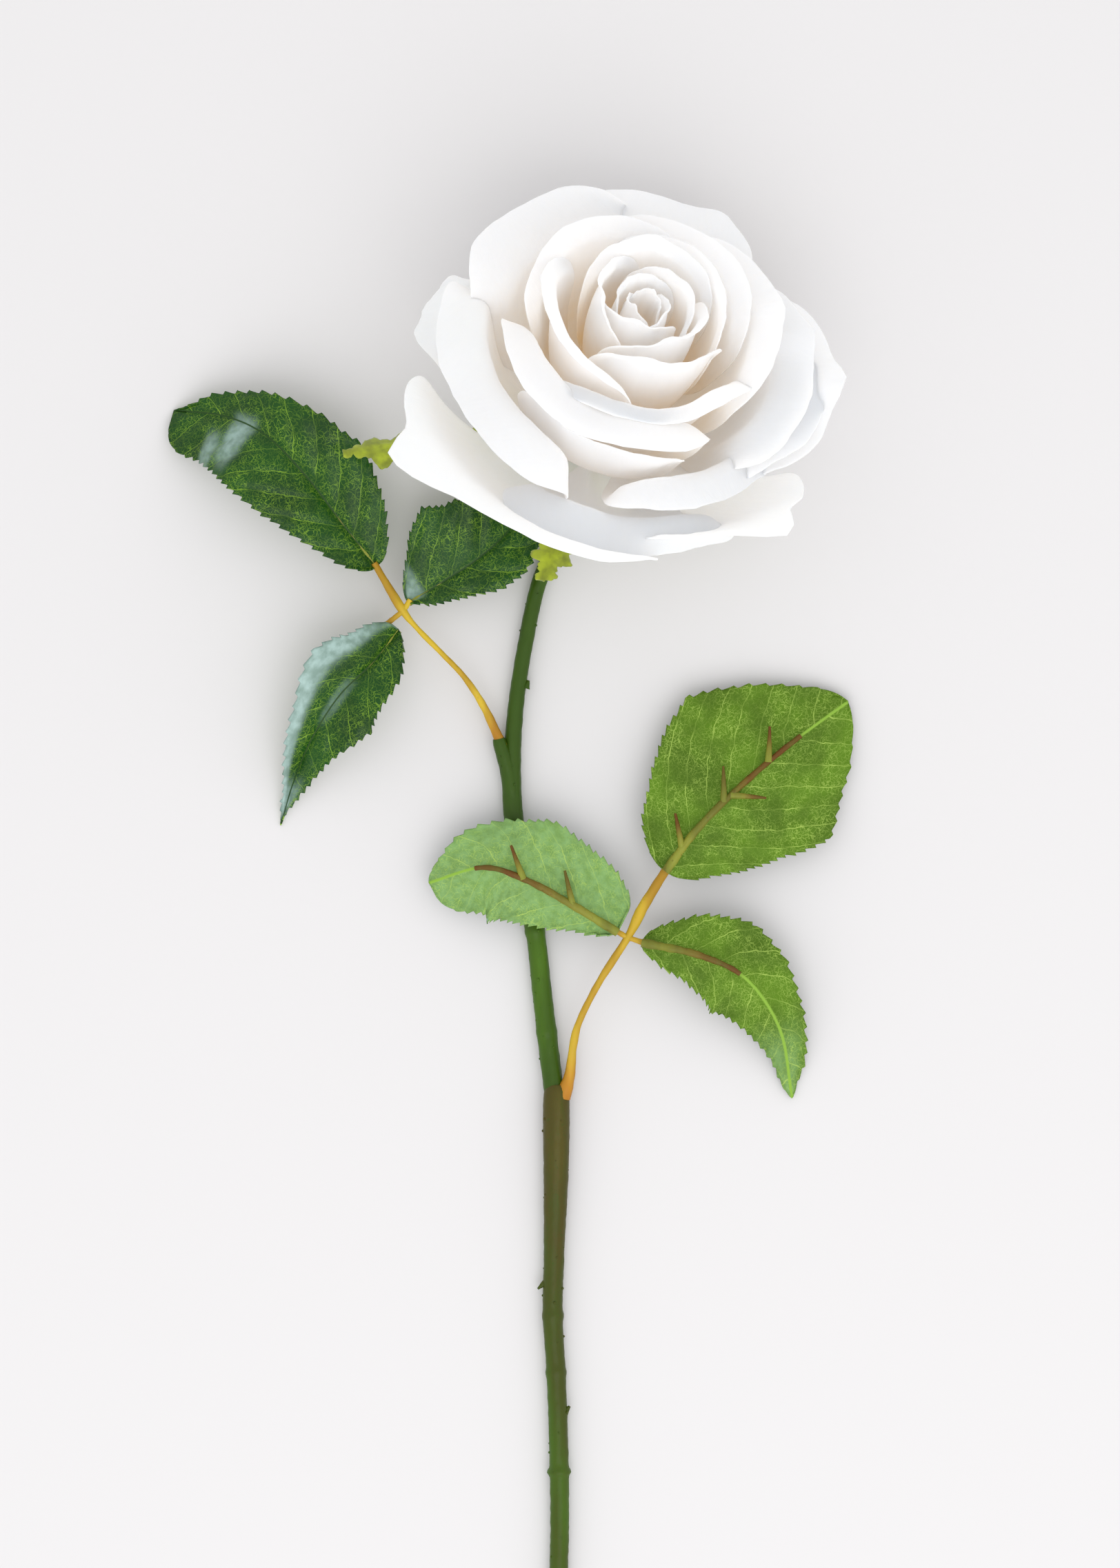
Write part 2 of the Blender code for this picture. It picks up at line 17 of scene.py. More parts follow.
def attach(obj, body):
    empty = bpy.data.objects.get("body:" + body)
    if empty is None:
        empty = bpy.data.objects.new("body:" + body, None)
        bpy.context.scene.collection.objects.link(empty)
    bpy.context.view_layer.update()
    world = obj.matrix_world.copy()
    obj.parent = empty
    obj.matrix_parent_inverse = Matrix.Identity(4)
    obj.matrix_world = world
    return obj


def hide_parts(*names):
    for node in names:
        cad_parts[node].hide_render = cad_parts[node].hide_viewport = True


bl_info = {
    "name": "Silk Rose",
    "version": (1, 0, 0),
    "blender": (4, 5, 0),
    "location": "3D View > Sidebar > Rose",
    "description": "Builds a silk rose with rolled petals, veined leaves and a moulded stem",
    "category": "Add Mesh",
}

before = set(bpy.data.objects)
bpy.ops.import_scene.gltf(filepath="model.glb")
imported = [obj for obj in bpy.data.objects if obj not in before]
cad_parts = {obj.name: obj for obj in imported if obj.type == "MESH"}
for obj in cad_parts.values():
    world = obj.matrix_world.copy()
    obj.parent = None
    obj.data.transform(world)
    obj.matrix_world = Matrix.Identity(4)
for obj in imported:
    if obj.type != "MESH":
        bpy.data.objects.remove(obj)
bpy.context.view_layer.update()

MM = 0.001
ORIGIN = np.array([-12.3, -52.5, 0.0])
BODY = "root"

# ---- where the flower sits -------------------------------------------------------------------------
FLOWER_BASE = np.array([9.9, 88.8, 18.8])
FLOWER_LEAN = math.radians(35.0)
FLOWER_HEADING = math.radians(68.0)

# ---- petals ----------------------------------------------------------------------------------------
# A petal's centre line is a Bezier curve from the core to the rim, as four (radius, height) pairs.
# Level 0 is the closed heart and level 1 the flattest outer petal; levels between are blended.
PETAL_LEVELS = np.array([
    [(1.2, 14.0), (5.0, 24.0), (5.5, 44.0), (3.0, 52.0)],
    [(3.0, 11.0), (12.5, 14.0), (18.5, 40.0), (14.0, 54.5)],
    [(5.0, 8.0), (23.0, 8.0), (26.0, 34.0), (27.5, 49.0)],
    [(6.8, 4.5), (33.0, 2.0), (34.0, 24.0), (41.0, 38.0)],
    [(8.5, 1.0), (40.0, -4.0), (45.0, 10.0), (57.0, 21.0)],
])
PETAL_SECTORS = 112
PETAL_RINGS = 34
RING_CROWDING = 1.35            # draws the rings of the mesh together towards the rim
PETAL_WAIST = 0.52              # share of the height where the innermost ring of the mesh starts
PETAL_FOOT = 0.03               # share of the centre line that is left bare below the petal
PETAL_CLAW = 0.62               # width of the foot, as a share of the petal's width
PETAL_SQUARENESS = 0.8          # power of the outline: 1 is an ellipse, and less is squarer
PETAL_FLARE = 0.3               # how much wider the rim end is than the middle
PETAL_WIDEST = 1.06             # width that the flare gives at the widest place
PLEAT = 0.35                    # height of the faint pleats that run from foot to rim
PLEAT_PITCH = 9.0
CREASE_WIDTH = 0.13
RIM_BEND = 0.6                  # share of a rim's length over which it bends; the rest is straight
RIM_SAMPLES = 10                # places at which the bend is added up
OPEN_SPIRAL = 0.02              # change of level from the middle of an open petal to its side
GOLDEN_ANGLE = 137.5
HEART_PETALS = 9
HEART_SPREAD = (100.0, 78.0)
HEART_LEVELS = (-0.035, 0.246)
HEART_HEIGHTS = (0.93, 0.994)
HEART_START = 60.0
HEART_SPIRAL = -0.02            # change of level from the middle of a heart petal to its side

# azimuth, level and half of the angle spanned place a petal; height is its length along the centre
# line. rim is the length that turns outwards and turn the angle; rim_side is how much of that turn
# the petal's sides keep. tip pulls a point out of the edge at tip_at, tip_wide across and tip_slant
# times wider on one side, with a crease below it.
Petal = namedtuple("Petal", "azimuth level spread height rim turn tip tip_at crease ripple waves phase "
                            "rim_side tip_wide tip_slant",
                   defaults=(0.0, 0.0, 0.0, 0.8, 3, 0.0, 0.5, 0.16, 1.0))
OPEN_PETALS = {
    "petal_inner_1": Petal(282, 0.315, 62, 0.965, 3.5, 35, tip=0.03, tip_at=-0.3, ripple=0.5, phase=0.3),
    "petal_inner_2": Petal(40, 0.340, 70, 0.970, 3.5, 35, ripple=0.5, phase=0.3),
    "petal_inner_3": Petal(198, 0.385, 70, 1.00, 5.0, 70, phase=2.3),
    "petal_inner_4": Petal(118, 0.425, 66, 1.00, 6.0, 60, phase=0.3),
    "petal_inner_5": Petal(50, 0.450, 64, 1.00, 6.0, 60, phase=1.3),
    "petal_middle_1": Petal(277, 0.475, 72, 0.95, 6.5, 80, tip=0.04, tip_at=0.6, phase=4.3),
    "petal_middle_2": Petal(14, 0.535, 56, 1.03, 9.0, 70, tip=0.05, tip_at=-0.1, phase=0.3),
    "petal_middle_3": Petal(239, 0.515, 72, 1.05, 11.0, 92, phase=1.0),
    "petal_middle_4": Petal(127, 0.600, 52, 1.12, 16.0, 85, phase=2.0),
    "petal_middle_5": Petal(74, 0.660, 45, 1.10, 13.0, 80, tip=0.05, tip_at=-0.5, phase=3.0),
    "petal_middle_6": Petal(353, 0.700, 50, 1.05, 12.0, 75, tip=0.05, tip_at=0.4, phase=4.0),
    "petal_middle_7": Petal(250, 0.655, 44, 0.90, 3.0, 15, phase=0.9),
    "petal_outer_1": Petal(202, 0.710, 55, 1.12, 14.5, 100, phase=5.0),
    "petal_outer_2": Petal(300, 0.740, 44, 0.95, 11.0, 85, phase=4.6),
    "petal_outer_3": Petal(340, 0.780, 34, 1.06, 10.0, 70, phase=0.6),
    "petal_outer_4": Petal(101, 0.840, 42, 1.00, 10.0, 80, phase=1.6),
    "petal_outer_5": Petal(354, 0.860, 42, 1.06, 6.0, 40, tip=0.10, crease=1.0, phase=1.9),
    "petal_outer_6": Petal(232, 0.965, 46, 1.18, 3.0, 12, tip=0.24, tip_at=-0.42, tip_wide=0.12,
                           tip_slant=2.6, crease=0.6, phase=2.6),
    "petal_outer_7": Petal(267, 0.865, 43, 0.96, 12.0, 80, ripple=1.2, phase=3.6),
    "petal_outer_8": Petal(303, 0.945, 32, 0.98, 3.0, 20, tip=0.28, tip_wide=0.30, ripple=1.4,
                           phase=5.6),
    "petal_outer_9": Petal(160, 0.815, 24, 1.06, 14.0, 120, phase=0.6),
}

# ---- receptacle and sepals -------------------------------------------------------------------------
RECEPTACLE_PROFILE = [
    (0.0, -12.0), (3.0, -12.0), (4.4, -9.5), (6.4, -5.0), (7.4, -1.5),
    (7.4, 0.2), (5.2, 3.6), (3.4, 7.2), (1.8, 10.4), (0.6, 13.6), (0.0, 13.6),
]
RECEPTACLE_RINGS = 60
RECEPTACLE_SIDES = 48
RECEPTACLE_RIB = 0.05           # height of its five soft ribs, as a share of the radius
SEPAL_ROOT = (7.6, -2.6)
SEPAL_HALF_WIDTH = 4.4
SEPAL_SAG = 0.8
SEPAL_STEPS = 90
SEPAL_COLUMNS = 13
SEPALS = {                      # azimuth, length, height of the tip
    "sepal_1": (187, 64, -8.5),
    "sepal_2": (250, 43, -11.0),
    "sepal_3": (338, 44, -4.0),
    "sepal_4": (45, 31, -1.4),
    "sepal_5": (115, 32, -1.6),
}

# ---- stem: x, y, z and radius ----------------------------------------------------------------------
NECK_LENGTH = 6.0
NECK_RADIUS = 2.05
UPPER_STEM_ROUTE = [
    (4.4, 75.2, 8.1, 1.9), (1.2, 67.0, 4.9, 1.9), (-2.6, 57.6, 3.0, 1.9), (-6.0, 48.0, 2.4, 1.9),
    (-8.9, 34.0, 2.4, 1.9), (-10.7, 22.6, 2.5, 1.95), (-11.7, 12.0, 2.6, 2.1), (-12.1, 2.0, 2.6, 2.35),
    (-11.6, -8.8, 2.6, 2.45), (-9.6, -21.0, 2.5, 2.4), (-6.2, -37.4, 2.5, 2.4),
    (-4.4, -53.1, 2.6, 2.45), (-2.8, -66.8, 2.9, 2.5), (-1.6, -76.0, 3.2, 2.5),
    (-1.2, -80.0, 3.3, 2.4),
]
LOWER_STEM_ROUTE = [
    (-0.9, -75.9, 3.4, 2.55), (-0.9, -77.6, 3.6, 3.15), (-0.9, -84.0, 3.5, 3.35),
    (-1.0, -98.3, 3.2, 3.1), (-1.5, -118.0, 2.7, 2.6), (-1.8, -133.7, 2.6, 2.5),
    (-1.0, -147.4, 2.5, 2.4), (-0.3, -167.1, 2.45, 2.4), (-0.1, -186.8, 2.4, 2.35),
    (-0.6, -206.0, 2.4, 2.3), (-1.2, -228.0, 2.4, 2.3), (-1.6, -252.0, 2.4, 2.3),
]
STUB_ROUTE = [
    (-11.7, -6.0, 2.7, 2.2), (-12.8, 2.5, 3.2, 2.1), (-14.9, 9.6, 4.0, 1.75), (-15.4, 11.4, 4.2, 1.45),
]
# Buds and a flake of thorn on the mouldings, each from its root to its tip.
BUDS = {
    "stem_upper": [[(-8.6, 24.0, 2.6, 1.1), (-7.9, 26.0, 2.7, 0.3)]],
    "stem_lower": [[(0.6, -158.5, 2.6, 1.2), (2.4, -156.0, 2.9, 0.3)],
                   [(-3.6, -125.0, 2.7, 0.9), (-5.6, -126.6, 3.0, 0.25)]],
}
# Rings that the moulding leaves round the stem, as (y, extra radius, width).
STEM_RINGS = [(-133.5, 0.25, 1.2), (-147.5, 0.30, 1.0), (-172.5, 0.75, 0.8), (-215.0, 0.35, 1.0),
              (-37.0, 0.25, 1.0), (-62.0, 0.2, 1.2)]
STEM_SAMPLES = 500
STUB_SAMPLES = 30
BUD_SAMPLES = 8

# ---- leaf sprigs -----------------------------------------------------------------------------------
STALKS = {
    "stalk_upper": (
        [(-14.4, 8.4, 3.9), (-15.6, 12.0, 4.3), (-19.2, 19.6, 5.4), (-24.0, 26.8, 6.6), (-30.3, 33.4, 7.4),
         (-35.4, 38.6, 8.0), (-39.2, 43.2, 8.2), (-45.0, 52.8, 8.4), (-46.4, 55.2, 8.7)],
        [(-39.2, 43.2, 8.2), (-37.4, 46.0, 8.2)],
        [(-39.2, 43.2, 8.2), (-43.4, 39.8, 8.6)],
    ),
    "stalk_lower": (
        [(0.6, -78.4, 4.2), (2.4, -73.0, 5.0), (3.3, -65.6, 6.4), (4.9, -59.2, 7.4), (10.0, -49.1, 8.6),
         (16.9, -38.3, 9.4), (20.8, -30.6, 9.4), (25.6, -22.8, 9.0), (27.0, -20.8, 9.1)],
        [(16.9, -38.3, 9.4), (13.2, -36.3, 10.3)],
        [(16.9, -38.3, 9.4), (21.4, -39.8, 9.4)],
    ),
}
# Radius of a stalk at places along it: a flared foot, a thin middle and a knot at the crossing.
STALK_RADII = {
    "stalk_upper": [(0.0, 1.1), (0.05, 1.6), (0.1, 1.4), (0.22, 0.95), (0.45, 0.68), (0.68, 0.68),
                    (0.77, 1.2), (0.84, 0.85), (1.0, 0.9)],
    "stalk_lower": [(0.0, 2.1), (0.08, 1.7), (0.2, 1.05), (0.45, 0.85), (0.62, 0.95), (0.72, 1.5),
                    (0.8, 1.15), (1.0, 1.05)],
}
SIDE_STALK_RADIUS = 0.7
STALK_SAMPLES = 80

# Each half of a leaf has its width, the share of the length where it is widest, the powers with
# which it opens from the foot and closes to the tip, and its rise from the midrib in degrees. A leaf
# also has the side that its plastic rib is on (1 above, -1 below), how far the rib reaches, the rib's
# prongs as (place along the leaf, side), and glints, pale patches of painted highlight and sheen where
# a fold or the underside would catch the light: (place along, place across, size along, size across,
# strength).
Half = namedtuple("Half", "width widest foot tip rise")
Leaf = namedtuple("Leaf", "route right left rib_side rib_reach prongs seed glints")
LEAVES = {
    "leaf_upper_end": Leaf(
        [(-45.8, 54.3, 8.4), (-53.9, 64.5, 11.5), (-62.7, 76.0, 13.5), (-73.0, 86.6, 14.0),
         (-84.0, 92.0, 7.5), (-97.0, 93.8, 1.2)],
        Half(16.5, 0.38, 0.5, 0.95, 10), Half(16.5, 0.54, 0.5, 0.2, 12), -1, 0.80,
        [(0.35, 1), (0.50, -1)], 1,
        [(0.70, -0.30, 0.05, 0.5, 0.75), (0.80, -0.75, 0.04, 0.4, 0.6)]),
    "leaf_upper_right": Leaf(
        [(-38.0, 45.4, 8.2), (-29.0, 50.6, 9.3), (-19.0, 57.4, 9.5), (-11.0, 66.0, 8.6),
         (-7.5, 78.0, 7.2)],
        Half(10.5, 0.58, 0.7, 0.5, 8), Half(18.5, 0.36, 0.6, 0.5, 14), -1, 0.80,
        [(0.35, 1), (0.50, -1)], 2,
        [(0.06, -0.3, 0.06, 0.6, 0.6)]),
    "leaf_upper_left": Leaf(
        [(-40.4, 38.6, 8.8), (-46.6, 30.4, 10.5), (-55.0, 22.1, 11.0), (-62.1, 11.2, 8.5),
         (-66.9, 0.3, 3.9), (-70.2, -10.4, 1.0)],
        Half(13.5, 0.34, 0.4, 1.3, 30), Half(12.5, 0.44, 0.6, 1.35, 6), -1, 0.80,
        [(0.35, 1), (0.50, -1)], 3,
        [(0.45, 0.85, 0.45, 0.30, 1.0), (0.95, 0.2, 0.15, 0.9, 0.9), (0.42, 0.0, 0.10, 0.14, 0.4)]),
    "leaf_lower_end": Leaf(
        [(26.3, -21.8, 9.0), (34.0, -11.5, 9.5), (43.4, -2.0, 9.5), (57.0, 9.6, 7.0),
         (72.0, 20.5, 2.5)],
        Half(25.0, 0.66, 0.5, 0.6, -5), Half(25.5, 0.60, 0.5, 0.6, -6), 1, 0.80,
        [(0.14, -1), (0.44, -1), (0.48, 1), (0.66, -1)], 4, []),
    "leaf_lower_left": Leaf(
        [(14.2, -36.9, 9.6), (2.5, -29.8, 11.5), (-9.1, -23.6, 12.5), (-19.4, -20.8, 11.0),
         (-32.5, -24.6, 7.0)],
        Half(16.5, 0.44, 0.22, 0.55, -8), Half(14.5, 0.70, 0.6, 0.30, -14), 1, 0.78,
        [(0.24, 1), (0.50, 1)], 5, [(0.5, 0.2, 2.0, 2.0, 0.75)]),
    "leaf_lower_right": Leaf(
        [(20.6, -39.6, 9.4), (34.6, -42.6, 11.5), (46.4, -48.6, 11.5), (55.0, -61.5, 6.5),
         (58.2, -78.6, 0.8)],
        Half(12.0, 0.50, 0.5, 0.75, -10), Half(13.0, 0.42, 0.5, 0.75, -10), 1, 0.46,
        [], 6, [(0.96, 0.2, 0.20, 1.0, 0.6)]),
}
LEAF_STEPS = 220
LEAF_COLUMNS = 49
LEAF_SAMPLES = 400              # places on the midrib's curve
TOOTH_HOOK = 1.3                # power of a tooth's rise towards its point
EDGE_WANDER = 0.8               # how far the edge strays from the smooth outline
EDGE_WAVE = 0.9                 # height of the slow waves along the edge
GROOVE_DEPTH = 0.5              # the groove that the midrib makes in the upper face
GROOVE_WIDTH = 1.1
VEIN_PITCH = 8.0                # spacing of the side veins along the midrib
VEIN_LEAN = 0.85                # how far a side vein runs forward for each millimetre across
VEIN_CURVE = 0.016              # how much more it runs forward towards the edge
VEIN_WOBBLE = 2.2               # how far a side vein strays from its line
VEIN_EDGE = (0.03, 0.22)        # where a side vein starts to fade and where it ends, from its middle
MIDRIB_EDGE = (0.10, 0.45)
VEIN_NET = ((38.0, 0.032, 0.60), (105.0, 0.10, 0.50))       # scale, width and strength of each net
RIB_LIFT = 1.3
RIB_RADII = (1.15, 0.6)
RIB_SAMPLES = 60
PRONG_STEP = (6.0, 6.5)         # how far a prong runs forward and aside
PRONG_RADII = (0.95, 0.3)
PRONG_ARCH = 0.5
PRONG_SAMPLES = 10

# ---- finish of the mouldings -----------------------------------------------------------------------
# What each kind of moulding gives the rod tree: the grain of its unevenness and its small knobs.
ROD_FINISH = {
    "stem_upper": {"Bump scale": 420.0, "Knob density": 12000.0, "Knob size": 0.0004, "Seed": 7},
    "stem_lower": {"Bump scale": 420.0, "Knob density": 16000.0, "Knob size": 0.00042, "Seed": 7},
    "stalk": {"Sides": 16, "Bump height": 0.0003, "Bump scale": 380.0, "Knob density": 0.0,
              "Knob size": 0.0003, "Seed": 3},
    "rib": {"Sides": 12, "Step": 0.0005, "Bump height": 0.0003, "Bump scale": 500.0,
            "Knob density": 0.0, "Knob size": 0.0002, "Seed": 5},
}

# ---- stage -----------------------------------------------------------------------------------------
CAMERA_LENS = 120.0
CAMERA_SENSOR = 36.0
CAMERA_HEIGHT = 1313.6          # above the surface, over the working origin
FLOOR_SIZE = 4.0
KEY_SIZE = 1.2
KEY_TARGET = (0.0, 60.0, 20.0)
KEY_OFFSET = (0.15, -0.75, 1.1)         # from its target to the light, in metres


# ---- settings --------------------------------------------------------------------------------------
def colour_property(name, description, default):
    return FloatVectorProperty(name=name, description=description, subtype="COLOR", size=3,
                               min=0.0, max=1.0, default=default)


def length_property(name, description, default):
    return FloatProperty(name=name, description=description, default=default, min=0.0, unit="LENGTH",
                         precision=5)


class PetalSettings(bpy.types.PropertyGroup):
    thickness: length_property("Silk thickness", "Thickness of a petal", 0.0004)
    rim_scale: FloatProperty(name="Rim turn", description="How far the rims turn over", default=1.0)
    ripple_scale: FloatProperty(name="Ripple", description="Height of the ripples along the rims",
                                default=1.0)
    # Glow is painted light: the silk faintly emits its own colour, which lifts the shade between the
    # petals.
    painted_glow: FloatProperty(name="Glow", description="Faint glow of the silk's brightener", default=0.09)
    white: colour_property("White silk", "Colour of the open part of a petal", (0.90, 0.90, 0.905))
    cream: colour_property("Cream silk", "Colour deep in the heart", (0.90, 0.68, 0.42))


class CalyxSettings(bpy.types.PropertyGroup):
    lime: colour_property("Lime green", "Colour of the sepals", (0.37, 0.45, 0.008))
    thickness: length_property("Sepal thickness", "Thickness of a sepal", 0.0006)
    rag: length_property("Ragged edge", "Depth of the teeth along a sepal", 0.0016)


class StemSettings(bpy.types.PropertyGroup):
    green: colour_property("Stem green", "Colour of the moulded stem", (0.048, 0.112, 0.003))
    olive: colour_property("Stem olive", "Colour of the socket and its streaks", (0.098, 0.082, 0.005))
    yellow: colour_property("Stalk yellow", "Colour of the leaf stalks", (0.60, 0.42, 0.030))
    amber: colour_property("Stalk amber", "Colour of the stalks' feet", (0.62, 0.26, 0.02))
    rib: colour_property("Rib olive", "Colour of the ribs", (0.24, 0.26, 0.03))
    brown: colour_property("Rib brown", "Colour of the ribs' streaks", (0.125, 0.048, 0.006))
    step: length_property("Mesh step", "Spacing of the rings of the mesh along a rod", 0.0006)
    sides: IntProperty(name="Sides", description="Faces round a rod", default=24, min=6, max=64)
    roughness_height: length_property("Bump height", "Height of the moulding's unevenness", 0.00040)


class LeafSettings(bpy.types.PropertyGroup):
    thickness: length_property("Leaf thickness", "Thickness of a leaf", 0.0004)
    tooth: length_property("Tooth depth", "Depth of the teeth along a leaf's edge", 0.0010)
    teeth: IntProperty(name="Teeth", description="Teeth on each side of a leaf", default=24)
    quilt: length_property("Quilting", "Rise of the leaf between its side veins", 0.0005)
    dark: colour_property("Leaf face", "Colour of a leaf's upper face", (0.010, 0.068, 0.005))
    dark_vein: colour_property("Face veins", "Colour of the veins on the upper face", (0.27, 0.46, 0.035))
    dark_midrib: colour_property("Face midrib", "Colour of the midrib on the face", (0.016, 0.055, 0.006))
    # The face glint is a painted highlight: pale colour at folds where the coating would reflect the
    # light.
    dark_glint: colour_property("Face glint", "Colour of the folds of the face", (0.36, 0.50, 0.47))
    light: colour_property("Leaf back", "Colour of a leaf's underside", (0.105, 0.215, 0.012))
    light_vein: colour_property("Back veins", "Colour of the veins on the underside", (0.42, 0.58, 0.12))
    light_midrib: colour_property("Back midrib", "Colour of the midrib underneath", (0.24, 0.42, 0.05))
    # The back glint is a painted sheen: pale colour where the underside would catch the light.
    light_glint: colour_property("Back glint", "Colour of the rubbed underside", (0.25, 0.44, 0.17))


class StageSettings(bpy.types.PropertyGroup):
    floor: colour_property("Floor", "Colour of the surface", (0.702, 0.691, 0.697))
    sky: FloatProperty(name="Sky light", description="Strength of the even light", default=1.06)
    key: FloatProperty(name="Key light", description="Power of the large soft light", default=6.0,
                       subtype="POWER")


# ---- shared helpers --------------------------------------------------------------------------------
def unit(vectors):
    return vectors / np.maximum(np.linalg.norm(vectors, axis=-1, keepdims=True), 1e-9)


def smooth_route(points, count):
    """A smooth curve through the points, as count places evenly spread over their spans."""
    points = np.array(points, float)
    chain = np.vstack([2 * points[0] - points[1], points, 2 * points[-1] - points[-2]])
    place = np.linspace(0.0, len(points) - 1.0, count)
    span = np.minimum(place.astype(int), len(points) - 2)
    share = (place - span)[:, None]
    a, b, c, d = (chain[span + shift] for shift in range(4))
    return 0.5 * (2 * b + (c - a) * share + (2 * a - 5 * b + 4 * c - d) * share**2
                  + (3 * b - a - 3 * c + d) * share**3)


def route_length(points):
    return float(np.linalg.norm(np.diff(np.array(points, float)[:, :3], axis=0), axis=1).sum())


def to_metres(places):
    """Working millimetres to metres in the model's frame."""
    return (np.asarray(places) - ORIGIN) * MM


def flower_turn():
    heading = Matrix.Rotation(FLOWER_HEADING, 3, "Z")
    return np.array(heading @ Matrix.Rotation(FLOWER_LEAN, 3, "Y") @ heading.inverted())


def flower_to_rose(places):
    """Places measured from the flower's base along its own axis, in working millimetres."""
    return np.asarray(places) @ flower_turn().T + FLOWER_BASE


def signed_power(values, power):
    return np.sign(values) * np.abs(values)**power


def ripple_noise(values, seed):
    """A smooth made-up curve between -1 and 1, from a few sines of unlike pitch."""
    waves = ((1.0, 0.9), (2.3, 0.55), (4.1, 0.3), (7.7, 0.15))
    return sum(size * np.sin(pitch * values + 1.7 * seed + 2.1 * pitch) for pitch, size in waves) / 1.9


def link_object(name, data):
    item = bpy.data.objects.new(name, data)
    bpy.context.scene.collection.objects.link(item)
    return item


def add_piece(mesh, node, thickness=0.0, back_material=0):
    """Make a mesh a piece that rides on the rose and stands for its plain node."""
    piece = link_object(mesh.name, mesh)
    if thickness:
        solidify = piece.modifiers.new("thickness", "SOLIDIFY")
        solidify.thickness = thickness
        solidify.offset = 0.0
        solidify.material_offset = back_material
        solidify.material_offset_rim = 0
    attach(piece, BODY)
    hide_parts(node)


def grid_faces(rows, columns):
    return [(columns * r + c, columns * r + c + 1, columns * (r + 1) + c + 1, columns * (r + 1) + c)
            for r in range(rows - 1) for c in range(columns - 1)]


def ring_faces(rings, sides, first=0):
    """Faces that join closed rings of points, each to the next; first is the first ring's start."""
    faces = []
    for low in range(first, first + (rings - 1) * sides, sides):
        faces += [(low + k, low + (k + 1) % sides, low + sides + (k + 1) % sides, low + sides + k)
                  for k in range(sides)]
    return faces


def sheet_mesh(name, places, faces, materials, uv=None, attributes=None):
    """A mesh from places in working millimetres, with a UV map and float attributes per point."""
    mesh = bpy.data.meshes.new(name)
    mesh.from_pydata([tuple(place) for place in to_metres(places)], [], faces)
    for material in materials:
        mesh.materials.append(material)
    mesh.shade_smooth()
    if uv is not None:
        layer = mesh.uv_layers.new(name="surface")
        corners = np.empty(len(mesh.loops), dtype=np.int32)
        mesh.loops.foreach_get("vertex_index", corners)
        layer.data.foreach_set("uv", np.asarray(uv, np.float32)[corners].ravel())
    for key, values in (attributes or {}).items():
        layer = mesh.attributes.new(key, "FLOAT", "POINT")
        layer.data.foreach_set("value", np.asarray(values, np.float32).ravel())
    return mesh


# ---- node helpers ----------------------------------------------------------------------------------
def add_node(tree, kind, options=None, **inputs):
    """A node with its options set and its named inputs linked or filled in."""
    node = tree.nodes.new(kind)
    for key, value in (options or {}).items():
        setattr(node, key, value)
    for key, value in inputs.items():
        socket = node.inputs[key.replace("_", " ")]
        if isinstance(value, bpy.types.NodeSocket):
            tree.links.new(value, socket)
        else:
            socket.default_value = value
    return node


def calculate(tree, operation, *values):
    node = tree.nodes.new("ShaderNodeMath")
    node.operation = operation
    for socket, value in zip(node.inputs, values):
        if isinstance(value, bpy.types.NodeSocket):
            tree.links.new(value, socket)
        else:
            socket.default_value = value
    return node.outputs[0]


def remap(tree, value, low, high, to_low=0.0, to_high=1.0):
    """A smooth step from one value to another while the input goes from low to high."""
    node = add_node(tree, "ShaderNodeMapRange", {"interpolation_type": "SMOOTHSTEP"},
                    Value=value, From_Min=low, From_Max=high, To_Min=to_low, To_Max=to_high)
    return node.outputs["Result"]


def mix_colours(tree, factor, first, second):
    node = tree.nodes.new("ShaderNodeMix")
    node.data_type = "RGBA"
    sockets = (node.inputs[0], node.inputs[6], node.inputs[7])
    for socket, value in zip(sockets, (factor, first, second)):
        if isinstance(value, bpy.types.NodeSocket):
            tree.links.new(value, socket)
        elif hasattr(value, "__len__"):
            socket.default_value = (*value[:3], 1.0)
        else:
            socket.default_value = value
    return node.outputs[2]


def noise(tree, vector, scale, detail=2.0, roughness=0.5):
    node = add_node(tree, "ShaderNodeTexNoise", None, Vector=vector, Scale=scale, Detail=detail,
                    Roughness=roughness)
    return node.outputs["Fac"]


def centred(tree, value):
    """A value that runs from 0 to 1, moved to run from -0.5 to 0.5."""
    return calculate(tree, "SUBTRACT", value, 0.5)


def attribute(tree, name):
    return add_node(tree, "ShaderNodeAttribute", {"attribute_name": name}).outputs["Fac"]


def surface_uv(tree):
    return add_node(tree, "ShaderNodeUVMap", {"uv_map": "surface"}).outputs["UV"]


def stretched(tree, vector, scale):
    return add_node(tree, "ShaderNodeMapping", None, Vector=vector, Scale=scale).outputs["Vector"]


def weave(tree, uv, **pattern):
    """Height of the crossing threads of a sheet of silk."""
    bands = [add_node(tree, "ShaderNodeTexWave", {"bands_direction": direction}, Vector=uv,
                      **pattern).outputs["Fac"] for direction in ("X", "Y")]
    return calculate(tree, "MAXIMUM", *bands)


def tone(colour, share):
    """A colour made darker, or lighter where share is over 1."""
    return tuple(share * part for part in colour)


def add_bumps(tree, shader, layers):
    """Stack bump nodes, given as (height socket, strength, distance in metres)."""
    normal = None
    for height, strength, distance in layers:
        bump = add_node(tree, "ShaderNodeBump", None, Height=height, Strength=strength,
                        Distance=distance)
        if normal is not None:
            tree.links.new(normal, bump.inputs["Normal"])
        normal = bump.outputs["Normal"]
    tree.links.new(normal, shader.inputs["Normal"])


def new_material(name, **values):
    """A Principled material with constants set on its own sockets."""
    material = bpy.data.materials.new(name)
    material.use_nodes = True
    tree = material.node_tree
    shader = tree.nodes["Principled BSDF"]
    for key, value in values.items():
        shader.inputs[key.replace("_", " ")].default_value = value
    return material, tree, shader


